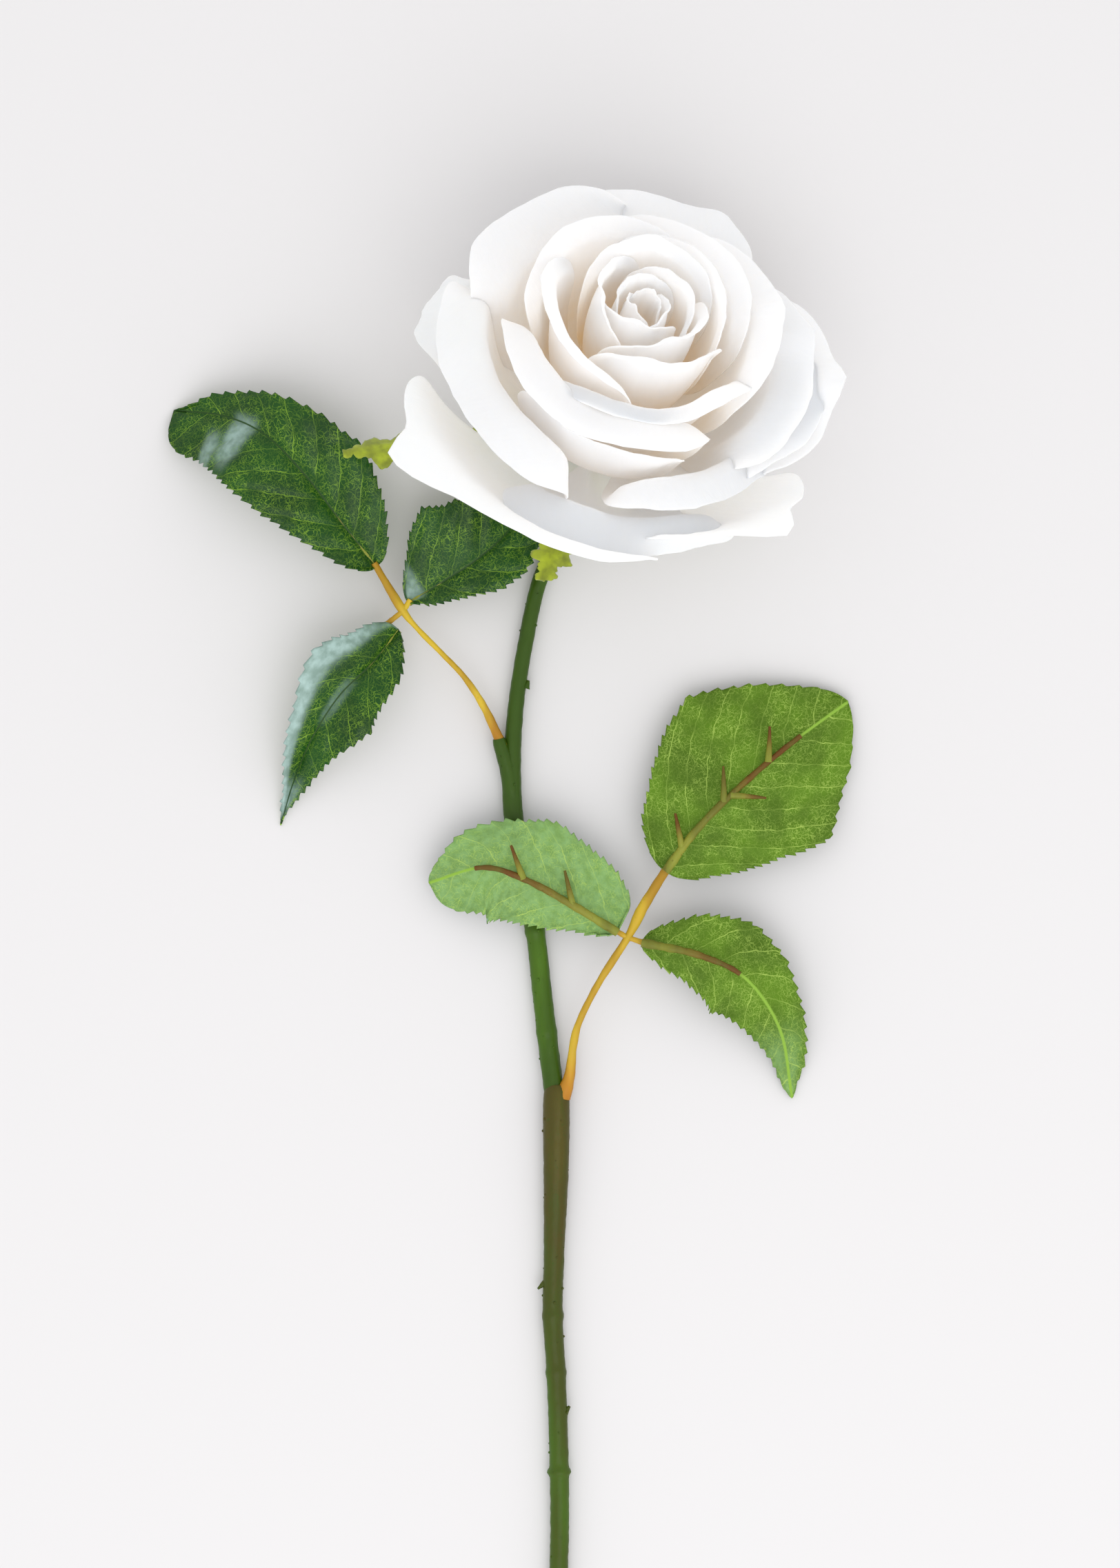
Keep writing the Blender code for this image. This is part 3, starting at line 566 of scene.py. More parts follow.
# ---- materials -------------------------------------------------------------------------------------
def silk_material(settings):
    """White silk: a fine weave, faint pressed pleats and a cream tint deep in the flower."""
    material, tree, shader = new_material("white_silk", Roughness=0.85, Sheen_Weight=0.25,
                                          Sheen_Roughness=0.5, Subsurface_Weight=0.85,
                                          Subsurface_Scale=0.006)
    shader.inputs["Specular IOR Level"].default_value = 0.25
    shader.inputs["Subsurface Radius"].default_value = (1.0, 0.85, 0.7)
    uv = surface_uv(tree)
    cloud = remap(tree, noise(tree, uv, 18.0, 3.0), 0.2, 0.8, 0.75, 1.15)
    tint = calculate(tree, "MULTIPLY", attribute(tree, "warmth"), cloud)
    colour = mix_colours(tree, tint, settings.white, settings.cream)
    tree.links.new(colour, shader.inputs["Base Color"])
    # Painted glow: the silk's colour is emitted at painted_glow strength. This lifts the shade in the cups
    # with no lamp there.
    tree.links.new(colour, shader.inputs["Emission Color"])
    shader.inputs["Emission Strength"].default_value = settings.painted_glow
    threads = weave(tree, uv, Scale=110.0, Distortion=0.6, Detail=1.0, Detail_Scale=3.0)
    pleats = noise(tree, stretched(tree, uv, (46.0, 7.0, 1.0)), 1.0, 3.0)
    add_bumps(tree, shader, [(pleats, 0.25, 0.0006), (threads, 0.10, 0.00012)])
    return material


def leaf_vein_mask(tree, uv):
    """Bright along the side veins and a fine net between them, and the midrib; UV is in decimetres."""
    split = add_node(tree, "ShaderNodeSeparateXYZ", None, Vector=uv)
    along = calculate(tree, "MULTIPLY", split.outputs["X"], 100.0)
    across = calculate(tree, "MULTIPLY", centred(tree, split.outputs["Y"]), 100.0)
    wobble = calculate(tree, "MULTIPLY", centred(tree, noise(tree, uv, 30.0)), VEIN_WOBBLE)
    distance = calculate(tree, "ABSOLUTE", across)
    midrib = remap(tree, distance, *MIDRIB_EDGE, 1.0, 0.0)
    run = calculate(tree, "SUBTRACT", calculate(tree, "ADD", along, wobble),
                    calculate(tree, "MULTIPLY", distance, VEIN_LEAN))
    curve = calculate(tree, "MULTIPLY", calculate(tree, "POWER", distance, 2.0), -VEIN_CURVE)
    place = calculate(tree, "DIVIDE", calculate(tree, "ADD", run, curve), VEIN_PITCH)
    side = calculate(tree, "MULTIPLY", calculate(tree, "SIGN", across), 0.25)
    fraction = calculate(tree, "FRACT", calculate(tree, "ADD", place, side))
    nearness = calculate(tree, "MULTIPLY", calculate(tree, "ABSOLUTE", centred(tree, fraction)),
                         VEIN_PITCH)
    side_vein = remap(tree, nearness, *VEIN_EDGE, 0.8, 0.0)
    shake = add_node(tree, "ShaderNodeTexNoise", None, Vector=uv, Scale=60.0).outputs["Color"]
    bent = add_node(tree, "ShaderNodeVectorMath", {"operation": "MULTIPLY_ADD"}).outputs["Vector"]
    tree.links.new(shake, bent.node.inputs[0])
    bent.node.inputs[1].default_value = (0.03, 0.03, 0.0)
    tree.links.new(uv, bent.node.inputs[2])
    net = []
    for scale, width, strength in VEIN_NET:
        cells = add_node(tree, "ShaderNodeTexVoronoi",
                         {"feature": "DISTANCE_TO_EDGE", "voronoi_dimensions": "2D"},
                         Vector=bent, Scale=scale)
        net.append(remap(tree, cells.outputs["Distance"], 0.0, width, strength, 0.0))
    mask = calculate(tree, "MAXIMUM", side_vein, calculate(tree, "MAXIMUM", *net))
    patch = remap(tree, noise(tree, uv, 18.0, 3.0), 0.35, 0.65, 0.25, 1.0)
    return calculate(tree, "MULTIPLY", mask, patch), midrib


def leaf_material(name, base, vein, midrib_colour, pale, faded, roughness, coat):
    """Printed silk leaf: a veined colour with cloudy variation and pale glints of painted highlight and
    sheen, over a fine weave.

    faded is how much of the veins still shows in a glint.
    """
    material, tree, shader = new_material(name, Roughness=roughness, Coat_Weight=coat,
                                          Coat_Roughness=0.25)
    shader.inputs["Specular IOR Level"].default_value = 0.15
    uv = surface_uv(tree)
    mask, midrib = leaf_vein_mask(tree, uv)
    cloud = remap(tree, noise(tree, uv, 9.0, 4.0), 0.3, 0.7)
    # Painted highlight and sheen: the glint attribute mixes pale colour into the ground where a fold or
    # the underside would catch the light, and noise breaks it into patches.
    glint = attribute(tree, "glint")
    sheened = remap(tree, noise(tree, uv, 45.0, 4.0), 0.3, 0.7, 0.6, 1.0)
    ground = mix_colours(tree, calculate(tree, "MULTIPLY", glint, sheened),
                         mix_colours(tree, cloud, tone(base, 0.62), base), pale)
    mask = calculate(tree, "MULTIPLY", mask, remap(tree, glint, 0.0, 1.0, 1.0, faded))
    veined = mix_colours(tree, midrib, mix_colours(tree, mask, ground, vein), midrib_colour)
    tree.links.new(veined, shader.inputs["Base Color"])
    threads = weave(tree, uv, Scale=90.0, Distortion=0.4)
    add_bumps(tree, shader, [(mask, -0.35, 0.0004), (threads, 0.12, 0.00012)])
    return material


def plastic_material(name, first, second, low, high, roughness=0.5, along=True, streaks=260.0,
                     mottle=0.35):
    """Moulded plastic with fine streaks, which turns from its first colour to its second.

    It turns along its length where along is set, between the places low and high, and from streak to
    streak where it isn't.
    """
    material, tree, shader = new_material(name, Roughness=roughness, Coat_Weight=0.12,
                                          Coat_Roughness=0.15)
    shader.inputs["Specular IOR Level"].default_value = 0.18
    shader.inputs["Subsurface Weight"].default_value = 0.08
    shader.inputs["Subsurface Scale"].default_value = 0.002
    place = add_node(tree, "ShaderNodeTexCoord").outputs["Object"]
    grain = stretched(tree, place, (1.0, 0.16, 1.0))
    streak = noise(tree, grain, streaks, 4.0, 0.6)
    fleck = noise(tree, place, 900.0, 2.0)
    if along:
        shift = calculate(tree, "MULTIPLY", centred(tree, streak), mottle)
        share = remap(tree, calculate(tree, "ADD", attribute(tree, "along"), shift), low, high)
    else:
        share = remap(tree, streak, low, high)
    colour = mix_colours(tree, share, first, second)
    shade = remap(tree, noise(tree, grain, 0.35 * streaks, 3.0), 0.4, 0.65, 0.0, 0.7)
    colour = mix_colours(tree, shade, colour, tone(first, 0.45))
    specks = remap(tree, fleck, 0.62, 0.75, 0.0, 0.45)
    colour = mix_colours(tree, specks, colour, tone(second, 0.6))
    tree.links.new(colour, shader.inputs["Base Color"])
    add_bumps(tree, shader, [(streak, 0.35, 0.0004), (fleck, 0.2, 0.00015)])
    return material


def calyx_material(settings):
    """Lime green of cloudy depth, slightly rough to the touch."""
    material, tree, shader = new_material("lime_calyx", Roughness=0.6, Sheen_Weight=0.2)
    cloud = noise(tree, add_node(tree, "ShaderNodeTexCoord").outputs["Object"], 240.0, 4.0)
    colour = mix_colours(tree, remap(tree, cloud, 0.3, 0.7), tone(settings.lime, 0.45), settings.lime)
    tree.links.new(colour, shader.inputs["Base Color"])
    add_bumps(tree, shader, [(cloud, 0.5, 0.0006)])
    return material


# ---- petals ----------------------------------------------------------------------------------------
def petal_line(level, along):
    """Radius and height on the centre line of a petal of this level, both arrays of one shape."""
    keys, last = PETAL_LEVELS, len(PETAL_LEVELS) - 1
    step = np.clip(level * last, 0.0, last - 0.001)
    low = step.astype(int)
    share = (step - low)[..., None, None]
    below = np.where((low > 0)[..., None, None], keys[np.maximum(low - 1, 0)], 2 * keys[0] - keys[1])
    above = np.where((low < last - 1)[..., None, None], keys[np.minimum(low + 2, last)],
                     2 * keys[last] - keys[last - 1])
    start, end = keys[low], keys[low + 1]
    line = 0.5 * (2 * start + (end - below) * share
                  + (2 * below - 5 * start + 4 * end - above) * share**2
                  + (3 * start - below - 3 * end + above) * share**3)
    s = along[..., None]
    return ((1 - s)**3 * line[..., 0, :] + 3 * s * (1 - s)**2 * line[..., 1, :]
            + 3 * s**2 * (1 - s) * line[..., 2, :] + s**3 * line[..., 3, :])


def petal_place(across, along, petal, spiral):
    """Points of a petal before its rim turns: across runs from -1 to 1, along from 0 to 1."""
    line = petal_line(petal.level + spiral * across, along)
    angle = math.radians(petal.azimuth) + across * math.radians(petal.spread)
    return np.stack([line[..., 0] * np.cos(angle), line[..., 0] * np.sin(angle), line[..., 1]], axis=-1)


def petal_outline(petal):
    """The petal's edge as across and along values, from its foot round to its foot."""
    turn = np.linspace(-math.pi, math.pi, PETAL_SECTORS, endpoint=False)
    tipward, sideways = np.cos(turn), np.sin(turn)
    across = signed_power(sideways, PETAL_SQUARENESS) * (1 + PETAL_FLARE * tipward) / PETAL_WIDEST
    claw = np.sign(sideways) * np.maximum(np.abs(across) * 0.9, PETAL_CLAW * np.abs(sideways)**0.4)
    footward = np.clip((-tipward - 0.2) / 0.8, 0.0, 1.0)
    across = across * (1 - footward) + claw * footward
    rise = 0.5 + 0.5 * signed_power(tipward, PETAL_SQUARENESS)
    along = PETAL_FOOT + (petal.height - PETAL_FOOT) * rise
    wide = petal.tip_wide * np.where(across > petal.tip_at, petal.tip_slant, 1.0)
    along += petal.tip * np.exp(-((across - petal.tip_at) / wide)**2) * (tipward > 0)
    return across, along, turn


def turn_rim(points, petal, strength, rim_scale):
    """Bend the last stretch of every ray of the petal outwards, along a curve that tightens."""
    turned = points.copy()
    radial = points * np.array([1.0, 1.0, 0.0])
    for sector in range(points.shape[1]):
        ray = points[:, sector]
        run = np.concatenate([[0.0], np.cumsum(np.linalg.norm(np.diff(ray, axis=0), axis=1))])
        length = petal.rim * (0.55 + 0.45 * strength[sector])
        bend = math.radians(petal.turn) * strength[sector] * rim_scale
        start = run[-1] - length
        if bend < 1e-3 or start <= 0.0:
            continue
        hinge = np.array([np.interp(start, run, ray[:, axis]) for axis in range(3)])
        before = np.array([np.interp(start - 1.0, run, ray[:, axis]) for axis in range(3)])
        onward = unit(hinge - before)
        neighbour = points[:, (sector + 1) % points.shape[1]] - points[:, sector - 1]
        index = int(np.searchsorted(run, start))
        outward = np.cross(neighbour[index], onward)
        if outward.dot(radial[index, sector]) < 0.0:
            outward = -outward
        outward = unit(outward - outward.dot(onward) * onward)
        past = run[run > start] - start
        shares = (np.arange(RIM_SAMPLES) + 0.5) / RIM_SAMPLES
        ramp = np.clip(past[:, None] * shares / (length * RIM_BEND), 0.0, 1.0)
        angles = bend * np.sin(ramp * math.pi / 2)
        forward = past * np.cos(angles).mean(axis=1)
        aside = past * np.sin(angles).mean(axis=1)
        turned[run > start, sector] = hinge + forward[:, None] * onward + aside[:, None] * outward
    return turned


def petal_surface(petal, spiral, settings):
    """Places, faces, UV and warmth of one petal, in the flower's own millimetres."""
    across, along, turn = petal_outline(petal)
    tipward, sideways = np.cos(turn), np.sin(turn)
    reach = 1 - (1 - np.linspace(0.0, 1.0, PETAL_RINGS + 1))**RING_CROWDING
    waist = PETAL_WAIST * petal.height
    ring_across = reach[:, None] * across
    ring_along = waist + reach[:, None] * (along - waist)
    points = petal_place(ring_across, ring_along, petal, spiral)
    up = np.clip((tipward + 0.55) / 0.75, 0.0, 1.0)
    up = up * up * (3 - 2 * up)
    side = (1 - np.abs(sideways)**3) * (1 - petal.rim_side) + petal.rim_side
    turned = turn_rim(points, petal, up * side, settings.rim_scale)

    grow = (reach**3)[:, None] * up
    ripple = petal.ripple * settings.ripple_scale
    lift = ripple * np.sin(petal.waves * turn + petal.phase) * grow
    lift = lift + 0.5 * ripple * np.sin(2.3 * petal.waves * turn + 1.7 * petal.phase + 1) * grow
    fold = np.exp(-((ring_across - petal.tip_at) / CREASE_WIDTH)**2) * (tipward > 0)
    lift -= petal.crease * fold * grow
    pleats = ripple_noise(PLEAT_PITCH * ring_across + petal.phase, petal.level * 40.0)
    lift += PLEAT * pleats * reach[:, None]
    steps_across = np.roll(points, -1, axis=1) - np.roll(points, 1, axis=1)
    steps_along = np.gradient(points, axis=0)
    normal = unit(np.cross(steps_across, steps_along))
    outward = np.sign((normal * points * np.array([1.0, 1.0, 0.0])).sum(axis=-1).mean())
    turned = turned + normal * outward * lift[..., None]

    def flat(values):
        return np.concatenate([values[0, :1], values[1:].ravel()])

    places = np.vstack([turned[0, :1], turned[1:].reshape(-1, 3)])
    radius = np.linalg.norm(points[..., :2], axis=-1)
    uv = np.stack([0.5 + flat(ring_across * math.radians(petal.spread) * radius.max() * 0.8) / 100.0,
                   0.1 + flat(ring_along) * 0.6], axis=-1)
    depth = np.clip(1.0 - ring_along / (0.95 * petal.height), 0.0, 1.0)
    warmth = np.clip(1.3 - 1.5 * petal.level, 0.1, 1.0) * np.minimum(1.0, 1.9 * depth)**1.2
    faces = [(0, 1 + (k + 1) % PETAL_SECTORS, 1 + k) for k in range(PETAL_SECTORS)]
    return places, faces + ring_faces(PETAL_RINGS, PETAL_SECTORS, 1), uv, flat(warmth)


def heart_petal(index):
    """One of the petals wound round each other in the heart, from the innermost, 0, outwards."""
    share = index / (HEART_PETALS - 1)
    level, height, spread = (low + (high - low) * share
                             for low, high in (HEART_LEVELS, HEART_HEIGHTS, HEART_SPREAD))
    return Petal(HEART_START + GOLDEN_ANGLE * index, level, spread, height, 1.6 + 0.3 * index,
                 12 + 5 * index, tip=0.045, tip_at=0.25 * math.sin(2.4 * index), ripple=0.3, waves=2,
                 phase=index, rim_side=0.3)


class ROSE_OT_petals(bpy.types.Operator):
    """Builds the heart, inner, middle and outer petals"""

    bl_idname = "rose.petals"
    bl_label = "Petals"

    def execute(self, context):
        settings = context.scene.rose_petals
        silk = silk_material(settings)
        petals = {f"petal_heart_{k + 1}": (heart_petal(k), HEART_SPIRAL) for k in range(HEART_PETALS)}
        petals.update({name: (petal, OPEN_SPIRAL) for name, petal in OPEN_PETALS.items()})
        for name, (petal, spiral) in petals.items():
            places, faces, uv, warmth = petal_surface(petal, spiral, settings)
            mesh = sheet_mesh(name + "_silk", flower_to_rose(places), faces, [silk], uv,
                              {"warmth": warmth})
            add_piece(mesh, name, settings.thickness)
        return {"FINISHED"}


# ---- receptacle and sepals -------------------------------------------------------------------------
class ROSE_OT_calyx(bpy.types.Operator):
    """Builds the receptacle under the petals and its five ragged sepals"""

    bl_idname = "rose.calyx"
    bl_label = "Calyx"

    def execute(self, context):
        settings = context.scene.rose_calyx
        lime = calyx_material(settings)
        self.receptacle(lime)
        for index, (name, shape) in enumerate(SEPALS.items()):
            self.sepal(name, shape, index, settings, lime)
        return {"FINISHED"}

    def receptacle(self, lime):
        count, sides = RECEPTACLE_RINGS, RECEPTACLE_SIDES
        profile = smooth_route([(r, h, 0.0) for r, h in RECEPTACLE_PROFILE[1:-1]], count)[:, :2]
        turn = np.linspace(0.0, 2 * math.pi, sides, endpoint=False)
        ribs = 1 + RECEPTACLE_RIB * np.cos(5 * turn)
        rings = np.stack([profile[:, :1] * ribs * np.cos(turn), profile[:, :1] * ribs * np.sin(turn),
                          np.repeat(profile[:, 1:], sides, axis=1)], axis=-1)
        places = np.vstack([rings.reshape(-1, 3), [(0, 0, profile[0, 1]), (0, 0, profile[-1, 1])]])
        low, high, last = count * sides, count * sides + 1, (count - 1) * sides
        faces = [(low, (k + 1) % sides, k) for k in range(sides)]
        faces += [(high, last + k, last + (k + 1) % sides) for k in range(sides)]
        mesh = sheet_mesh("receptacle_body", flower_to_rose(places), faces + ring_faces(count, sides),
                          [lime])
        add_piece(mesh, "receptacle")

    def sepal(self, name, shape, index, settings, lime):
        azimuth, length, tip_height = shape
        angle = math.radians(azimuth)
        outward = np.array([math.cos(angle), math.sin(angle), 0.0])
        sideways = np.array([-math.sin(angle), math.cos(angle), 0.0])
        share = np.linspace(0.0, 1.0, SEPAL_STEPS + 1)[:, None]
        across = np.linspace(-1.0, 1.0, SEPAL_COLUMNS)[None, :]
        radius = SEPAL_ROOT[0] + (length - SEPAL_ROOT[0]) * share
        height = SEPAL_ROOT[1] + (tip_height - SEPAL_ROOT[1]) * share
        height = height - SEPAL_SAG * np.sin(math.pi * share)
        width = SEPAL_HALF_WIDTH * (0.45 + 0.55 * np.sin(math.pi * share**1.4)) * (1 - 0.9 * share**9)
        rag = settings.rag / MM
        teeth = np.maximum(0.0, np.sin(38 * share + 2.1 * index + (across > 0) * 1.3))**0.6
        width = width + rag * (teeth + 0.5 * ripple_noise(60 * share, index)) * (share > 0.12)
        droop = 0.35 * width * across**2 + 0.35 * np.cos(3 * math.pi * across) * (1 - share)
        places = (radius[..., None] * outward + (across * width)[..., None] * sideways
                  + (height - droop)[..., None] * np.array([0.0, 0.0, 1.0]))
        mesh = sheet_mesh(name + "_tongue", flower_to_rose(places.reshape(-1, 3)),
                          grid_faces(SEPAL_STEPS + 1, SEPAL_COLUMNS), [lime])
        add_piece(mesh, name, settings.thickness)


# ---- moulded rods ----------------------------------------------------------------------------------
ROD_INPUTS = (
    ("Sides", "NodeSocketInt"), ("Step", "NodeSocketFloat"), ("Bump height", "NodeSocketFloat"),
    ("Bump scale", "NodeSocketFloat"), ("Knob density", "NodeSocketFloat"),
    ("Knob size", "NodeSocketFloat"), ("Seed", "NodeSocketInt"), ("Material", "NodeSocketMaterial"),
)


def rod_tree():
    """Geometry Nodes that sweep a round, slightly uneven rod along a curve and scatter small knobs."""
    tree = bpy.data.node_groups.new("Moulded rod", "GeometryNodeTree")
    tree.interface.new_socket("Geometry", in_out="INPUT", socket_type="NodeSocketGeometry")
    for name, kind in ROD_INPUTS:
        tree.interface.new_socket(name, in_out="INPUT", socket_type=kind)
    tree.interface.new_socket("Geometry", in_out="OUTPUT", socket_type="NodeSocketGeometry")
    given = tree.nodes.new("NodeGroupInput").outputs
    result = tree.nodes.new("NodeGroupOutput")

    fine = add_node(tree, "GeometryNodeResampleCurve", {"mode": "LENGTH"}, Curve=given["Geometry"],
                    Length=given["Step"])
    factor = add_node(tree, "GeometryNodeSplineParameter").outputs["Factor"]
    marked = add_node(tree, "GeometryNodeStoreNamedAttribute", {"domain": "POINT"},
                      Geometry=fine.outputs["Curve"], Name="along", Value=factor)
    circle = add_node(tree, "GeometryNodeCurvePrimitiveCircle", None, Resolution=given["Sides"],
                      Radius=1.0)
    radius = add_node(tree, "GeometryNodeInputRadius").outputs["Radius"]
    swept = add_node(tree, "GeometryNodeCurveToMesh", None, Curve=marked.outputs["Geometry"],
                     Profile_Curve=circle.outputs["Curve"], Scale=radius, Fill_Caps=True)

    place = add_node(tree, "GeometryNodeInputPosition").outputs["Position"]
    uneven = add_node(tree, "ShaderNodeTexNoise", None, Vector=place, Scale=given["Bump scale"],
                      Detail=3.0).outputs["Fac"]
    height = calculate(tree, "MULTIPLY", centred(tree, uneven), given["Bump height"])
    normal = add_node(tree, "GeometryNodeInputNormal").outputs["Normal"]
    offset = add_node(tree, "ShaderNodeVectorMath", {"operation": "SCALE"}, Vector=normal, Scale=height)
    body = add_node(tree, "GeometryNodeSetPosition", None, Geometry=swept.outputs["Mesh"],
                    Offset=offset.outputs["Vector"])

    scatter = add_node(tree, "GeometryNodeDistributePointsOnFaces", None,
                       Mesh=body.outputs["Geometry"], Density=given["Knob density"],
                       Seed=given["Seed"])
    knob = add_node(tree, "GeometryNodeMeshIcoSphere", None, Radius=given["Knob size"],
                    Subdivisions=2)
    spread = add_node(tree, "FunctionNodeRandomValue", {"data_type": "FLOAT"}, Seed=given["Seed"])
    spread.inputs[2].default_value = 0.35
    spread.inputs[3].default_value = 1.0
    knobs = add_node(tree, "GeometryNodeInstanceOnPoints", None, Points=scatter.outputs["Points"],
                     Instance=knob.outputs["Mesh"], Rotation=scatter.outputs["Rotation"],
                     Scale=spread.outputs[1])
    both = tree.nodes.new("GeometryNodeJoinGeometry")
    tree.links.new(body.outputs["Geometry"], both.inputs[0])
    tree.links.new(knobs.outputs["Instances"], both.inputs[0])
    real = add_node(tree, "GeometryNodeRealizeInstances", None, Geometry=both.outputs["Geometry"])
    smooth = add_node(tree, "GeometryNodeSetShadeSmooth", None, Geometry=real.outputs["Geometry"])
    painted = add_node(tree, "GeometryNodeSetMaterial", None, Geometry=smooth.outputs["Geometry"],
                       Material=given["Material"])
    tree.links.new(painted.outputs["Geometry"], result.inputs["Geometry"])
    return tree


def rod_mesh(name, routes, tree, values):
    """Sweep one or more routes of (x, y, z, radius) into a plain mesh through the rod tree."""
    curve = bpy.data.curves.new(name, "CURVE")
    curve.dimensions = "3D"
    for route in routes:
        route = np.asarray(route, float)
        spline = curve.splines.new("POLY")
        spline.points.add(len(route) - 1)
        for point, place, radius in zip(spline.points, to_metres(route[:, :3]), route[:, 3]):
            point.co = (*place, 1.0)
            point.radius = radius * MM
    guide = link_object(name + "_guide", curve)
    modifier = guide.modifiers.new("rod", "NODES")
    modifier.node_group = tree
    sockets = {item.name: item.identifier for item in tree.interface.items_tree
               if item.item_type == "SOCKET" and item.in_out == "INPUT"}
    for key, value in values.items():
        modifier[sockets[key]] = value
    evaluated = guide.evaluated_get(bpy.context.evaluated_depsgraph_get())
    mesh = bpy.data.meshes.new_from_object(evaluated)
    guide.modifiers.remove(modifier)
    bpy.data.objects.remove(guide, do_unlink=True)
    mesh.name = name
    places = np.empty(3 * len(mesh.vertices))
    mesh.vertices.foreach_get("co", places)
    places[2::3] = np.maximum(places[2::3], 0.0)      # the rose rests on the surface
    mesh.vertices.foreach_set("co", places)
    return mesh


def with_rings(route):
    """Swell a finely sampled stem where the moulding has rings."""
    route = route.copy()
    for y, extra, width in STEM_RINGS:
        route[:, 3] += extra * np.exp(-((route[:, 1] - y) / width)**2)
    return route


class ROSE_OT_stem(bpy.types.Operator):
    """Builds the upper and lower stem mouldings"""

    bl_idname = "rose.stem"
    bl_label = "Stem"

    def execute(self, context):
        settings = context.scene.rose_stem
        tree = rod_tree()
        upper_look = plastic_material("stem_green", settings.green, tone(settings.green, 1.25),
                                      0.3, 0.7, along=False)
        lower_look = plastic_material("stem_olive", settings.olive, settings.green, 0.03, 0.32,
                                      mottle=0.9)
        axis = flower_turn() @ np.array([0.0, 0.0, 1.0])
        top = FLOWER_BASE + axis * (RECEPTACLE_PROFILE[0][1] - 0.2)
        neck = [(*top, NECK_RADIUS), (*(top - axis * NECK_LENGTH), NECK_RADIUS)]
        upper = with_rings(smooth_route(neck + UPPER_STEM_ROUTE, STEM_SAMPLES))
        lower = with_rings(smooth_route(LOWER_STEM_ROUTE, STEM_SAMPLES))
        stub = smooth_route(STUB_ROUTE, STUB_SAMPLES)
        for name, routes, look, slot in (
                ("stem_upper", [upper, stub], upper_look, "stem_plastic"),
                ("stem_lower", [lower], lower_look, "stem_olive_plastic")):
            routes += [smooth_route(route, BUD_SAMPLES) for route in BUDS[name]]
            mesh = rod_mesh(name + "_moulding", routes, tree,
                            {"Sides": settings.sides, "Step": settings.step,
                             "Bump height": settings.roughness_height, "Material": look,
                             **ROD_FINISH[name]})
            add_piece(mesh, name)
        return {"FINISHED"}


class ROSE_OT_stalks(bpy.types.Operator):
    """Builds the two yellow leaf stalks with their side stalks"""

    bl_idname = "rose.stalks"
    bl_label = "Leaf stalks"

    def execute(self, context):
        settings = context.scene.rose_stem
        tree = rod_tree()
        look = plastic_material("stalk_yellow", settings.amber, settings.yellow, 0.0, 0.2, mottle=0.1)
        places = np.linspace(0.0, 1.0, STALK_SAMPLES)
        for name, routes in STALKS.items():
            swept = []
            for index, route in enumerate(routes):
                radii = np.full(STALK_SAMPLES, SIDE_STALK_RADIUS)
                if index == 0:
                    radii = np.interp(places, *zip(*STALK_RADII[name]))
                radii = radii * (1 + 0.10 * ripple_noise(22 * places, index))
                swept.append(np.column_stack([smooth_route(route, STALK_SAMPLES), radii]))
            mesh = rod_mesh(name + "_moulding", swept, tree,
                            {"Step": settings.step, "Material": look, **ROD_FINISH["stalk"]})
            add_piece(mesh, name)
        return {"FINISHED"}


# ---- leaves ----------------------------------------------------------------------------------------
def leaf_width(half, share):
    """Half-width of one half of a leaf from foot to tip."""
    foot = np.clip(share / half.widest, 0.0, 1.0)**half.foot
    tip = np.clip((1 - share) / (1 - half.widest), 0.0, 1.0)**half.tip
    return half.width * foot * tip


def leaf_frames(leaf, shares):
    """Points, headings, side directions and face directions along a leaf's midrib."""
    fine = smooth_route(leaf.route, LEAF_SAMPLES + 1)
    places = np.asarray(shares) * LEAF_SAMPLES
    index = np.clip(np.round(places).astype(int), 1, LEAF_SAMPLES - 1)
    heading = unit(fine[index + 1] - fine[index - 1])
    side = unit(np.cross(heading, (0.0, 0.0, 1.0)))
    point = np.stack([np.interp(places, np.arange(LEAF_SAMPLES + 1), fine[:, axis])
                      for axis in range(3)], axis=-1)
    return point, heading, side, np.cross(side, heading)


def leaf_places(leaf, shares, across, lift=0.0, extra=0.0):
    """Points of a leaf, and how far each is from its midrib.

    across is 1 at its right edge and -1 at its left, lift is off its face, and extra widens it.
    """
    point, _, side, face = leaf_frames(leaf, shares)
    shares = np.asarray(shares)
    right = across > 0
    width = np.where(right, leaf_width(leaf.right, shares), leaf_width(leaf.left, shares)) + extra
    rise = np.radians(np.where(right, leaf.right.rise, leaf.left.rise))
    out = across * width
    return (point + (out * np.cos(rise))[..., None] * side
            + (np.abs(out) * np.sin(rise) + lift)[..., None] * face), out


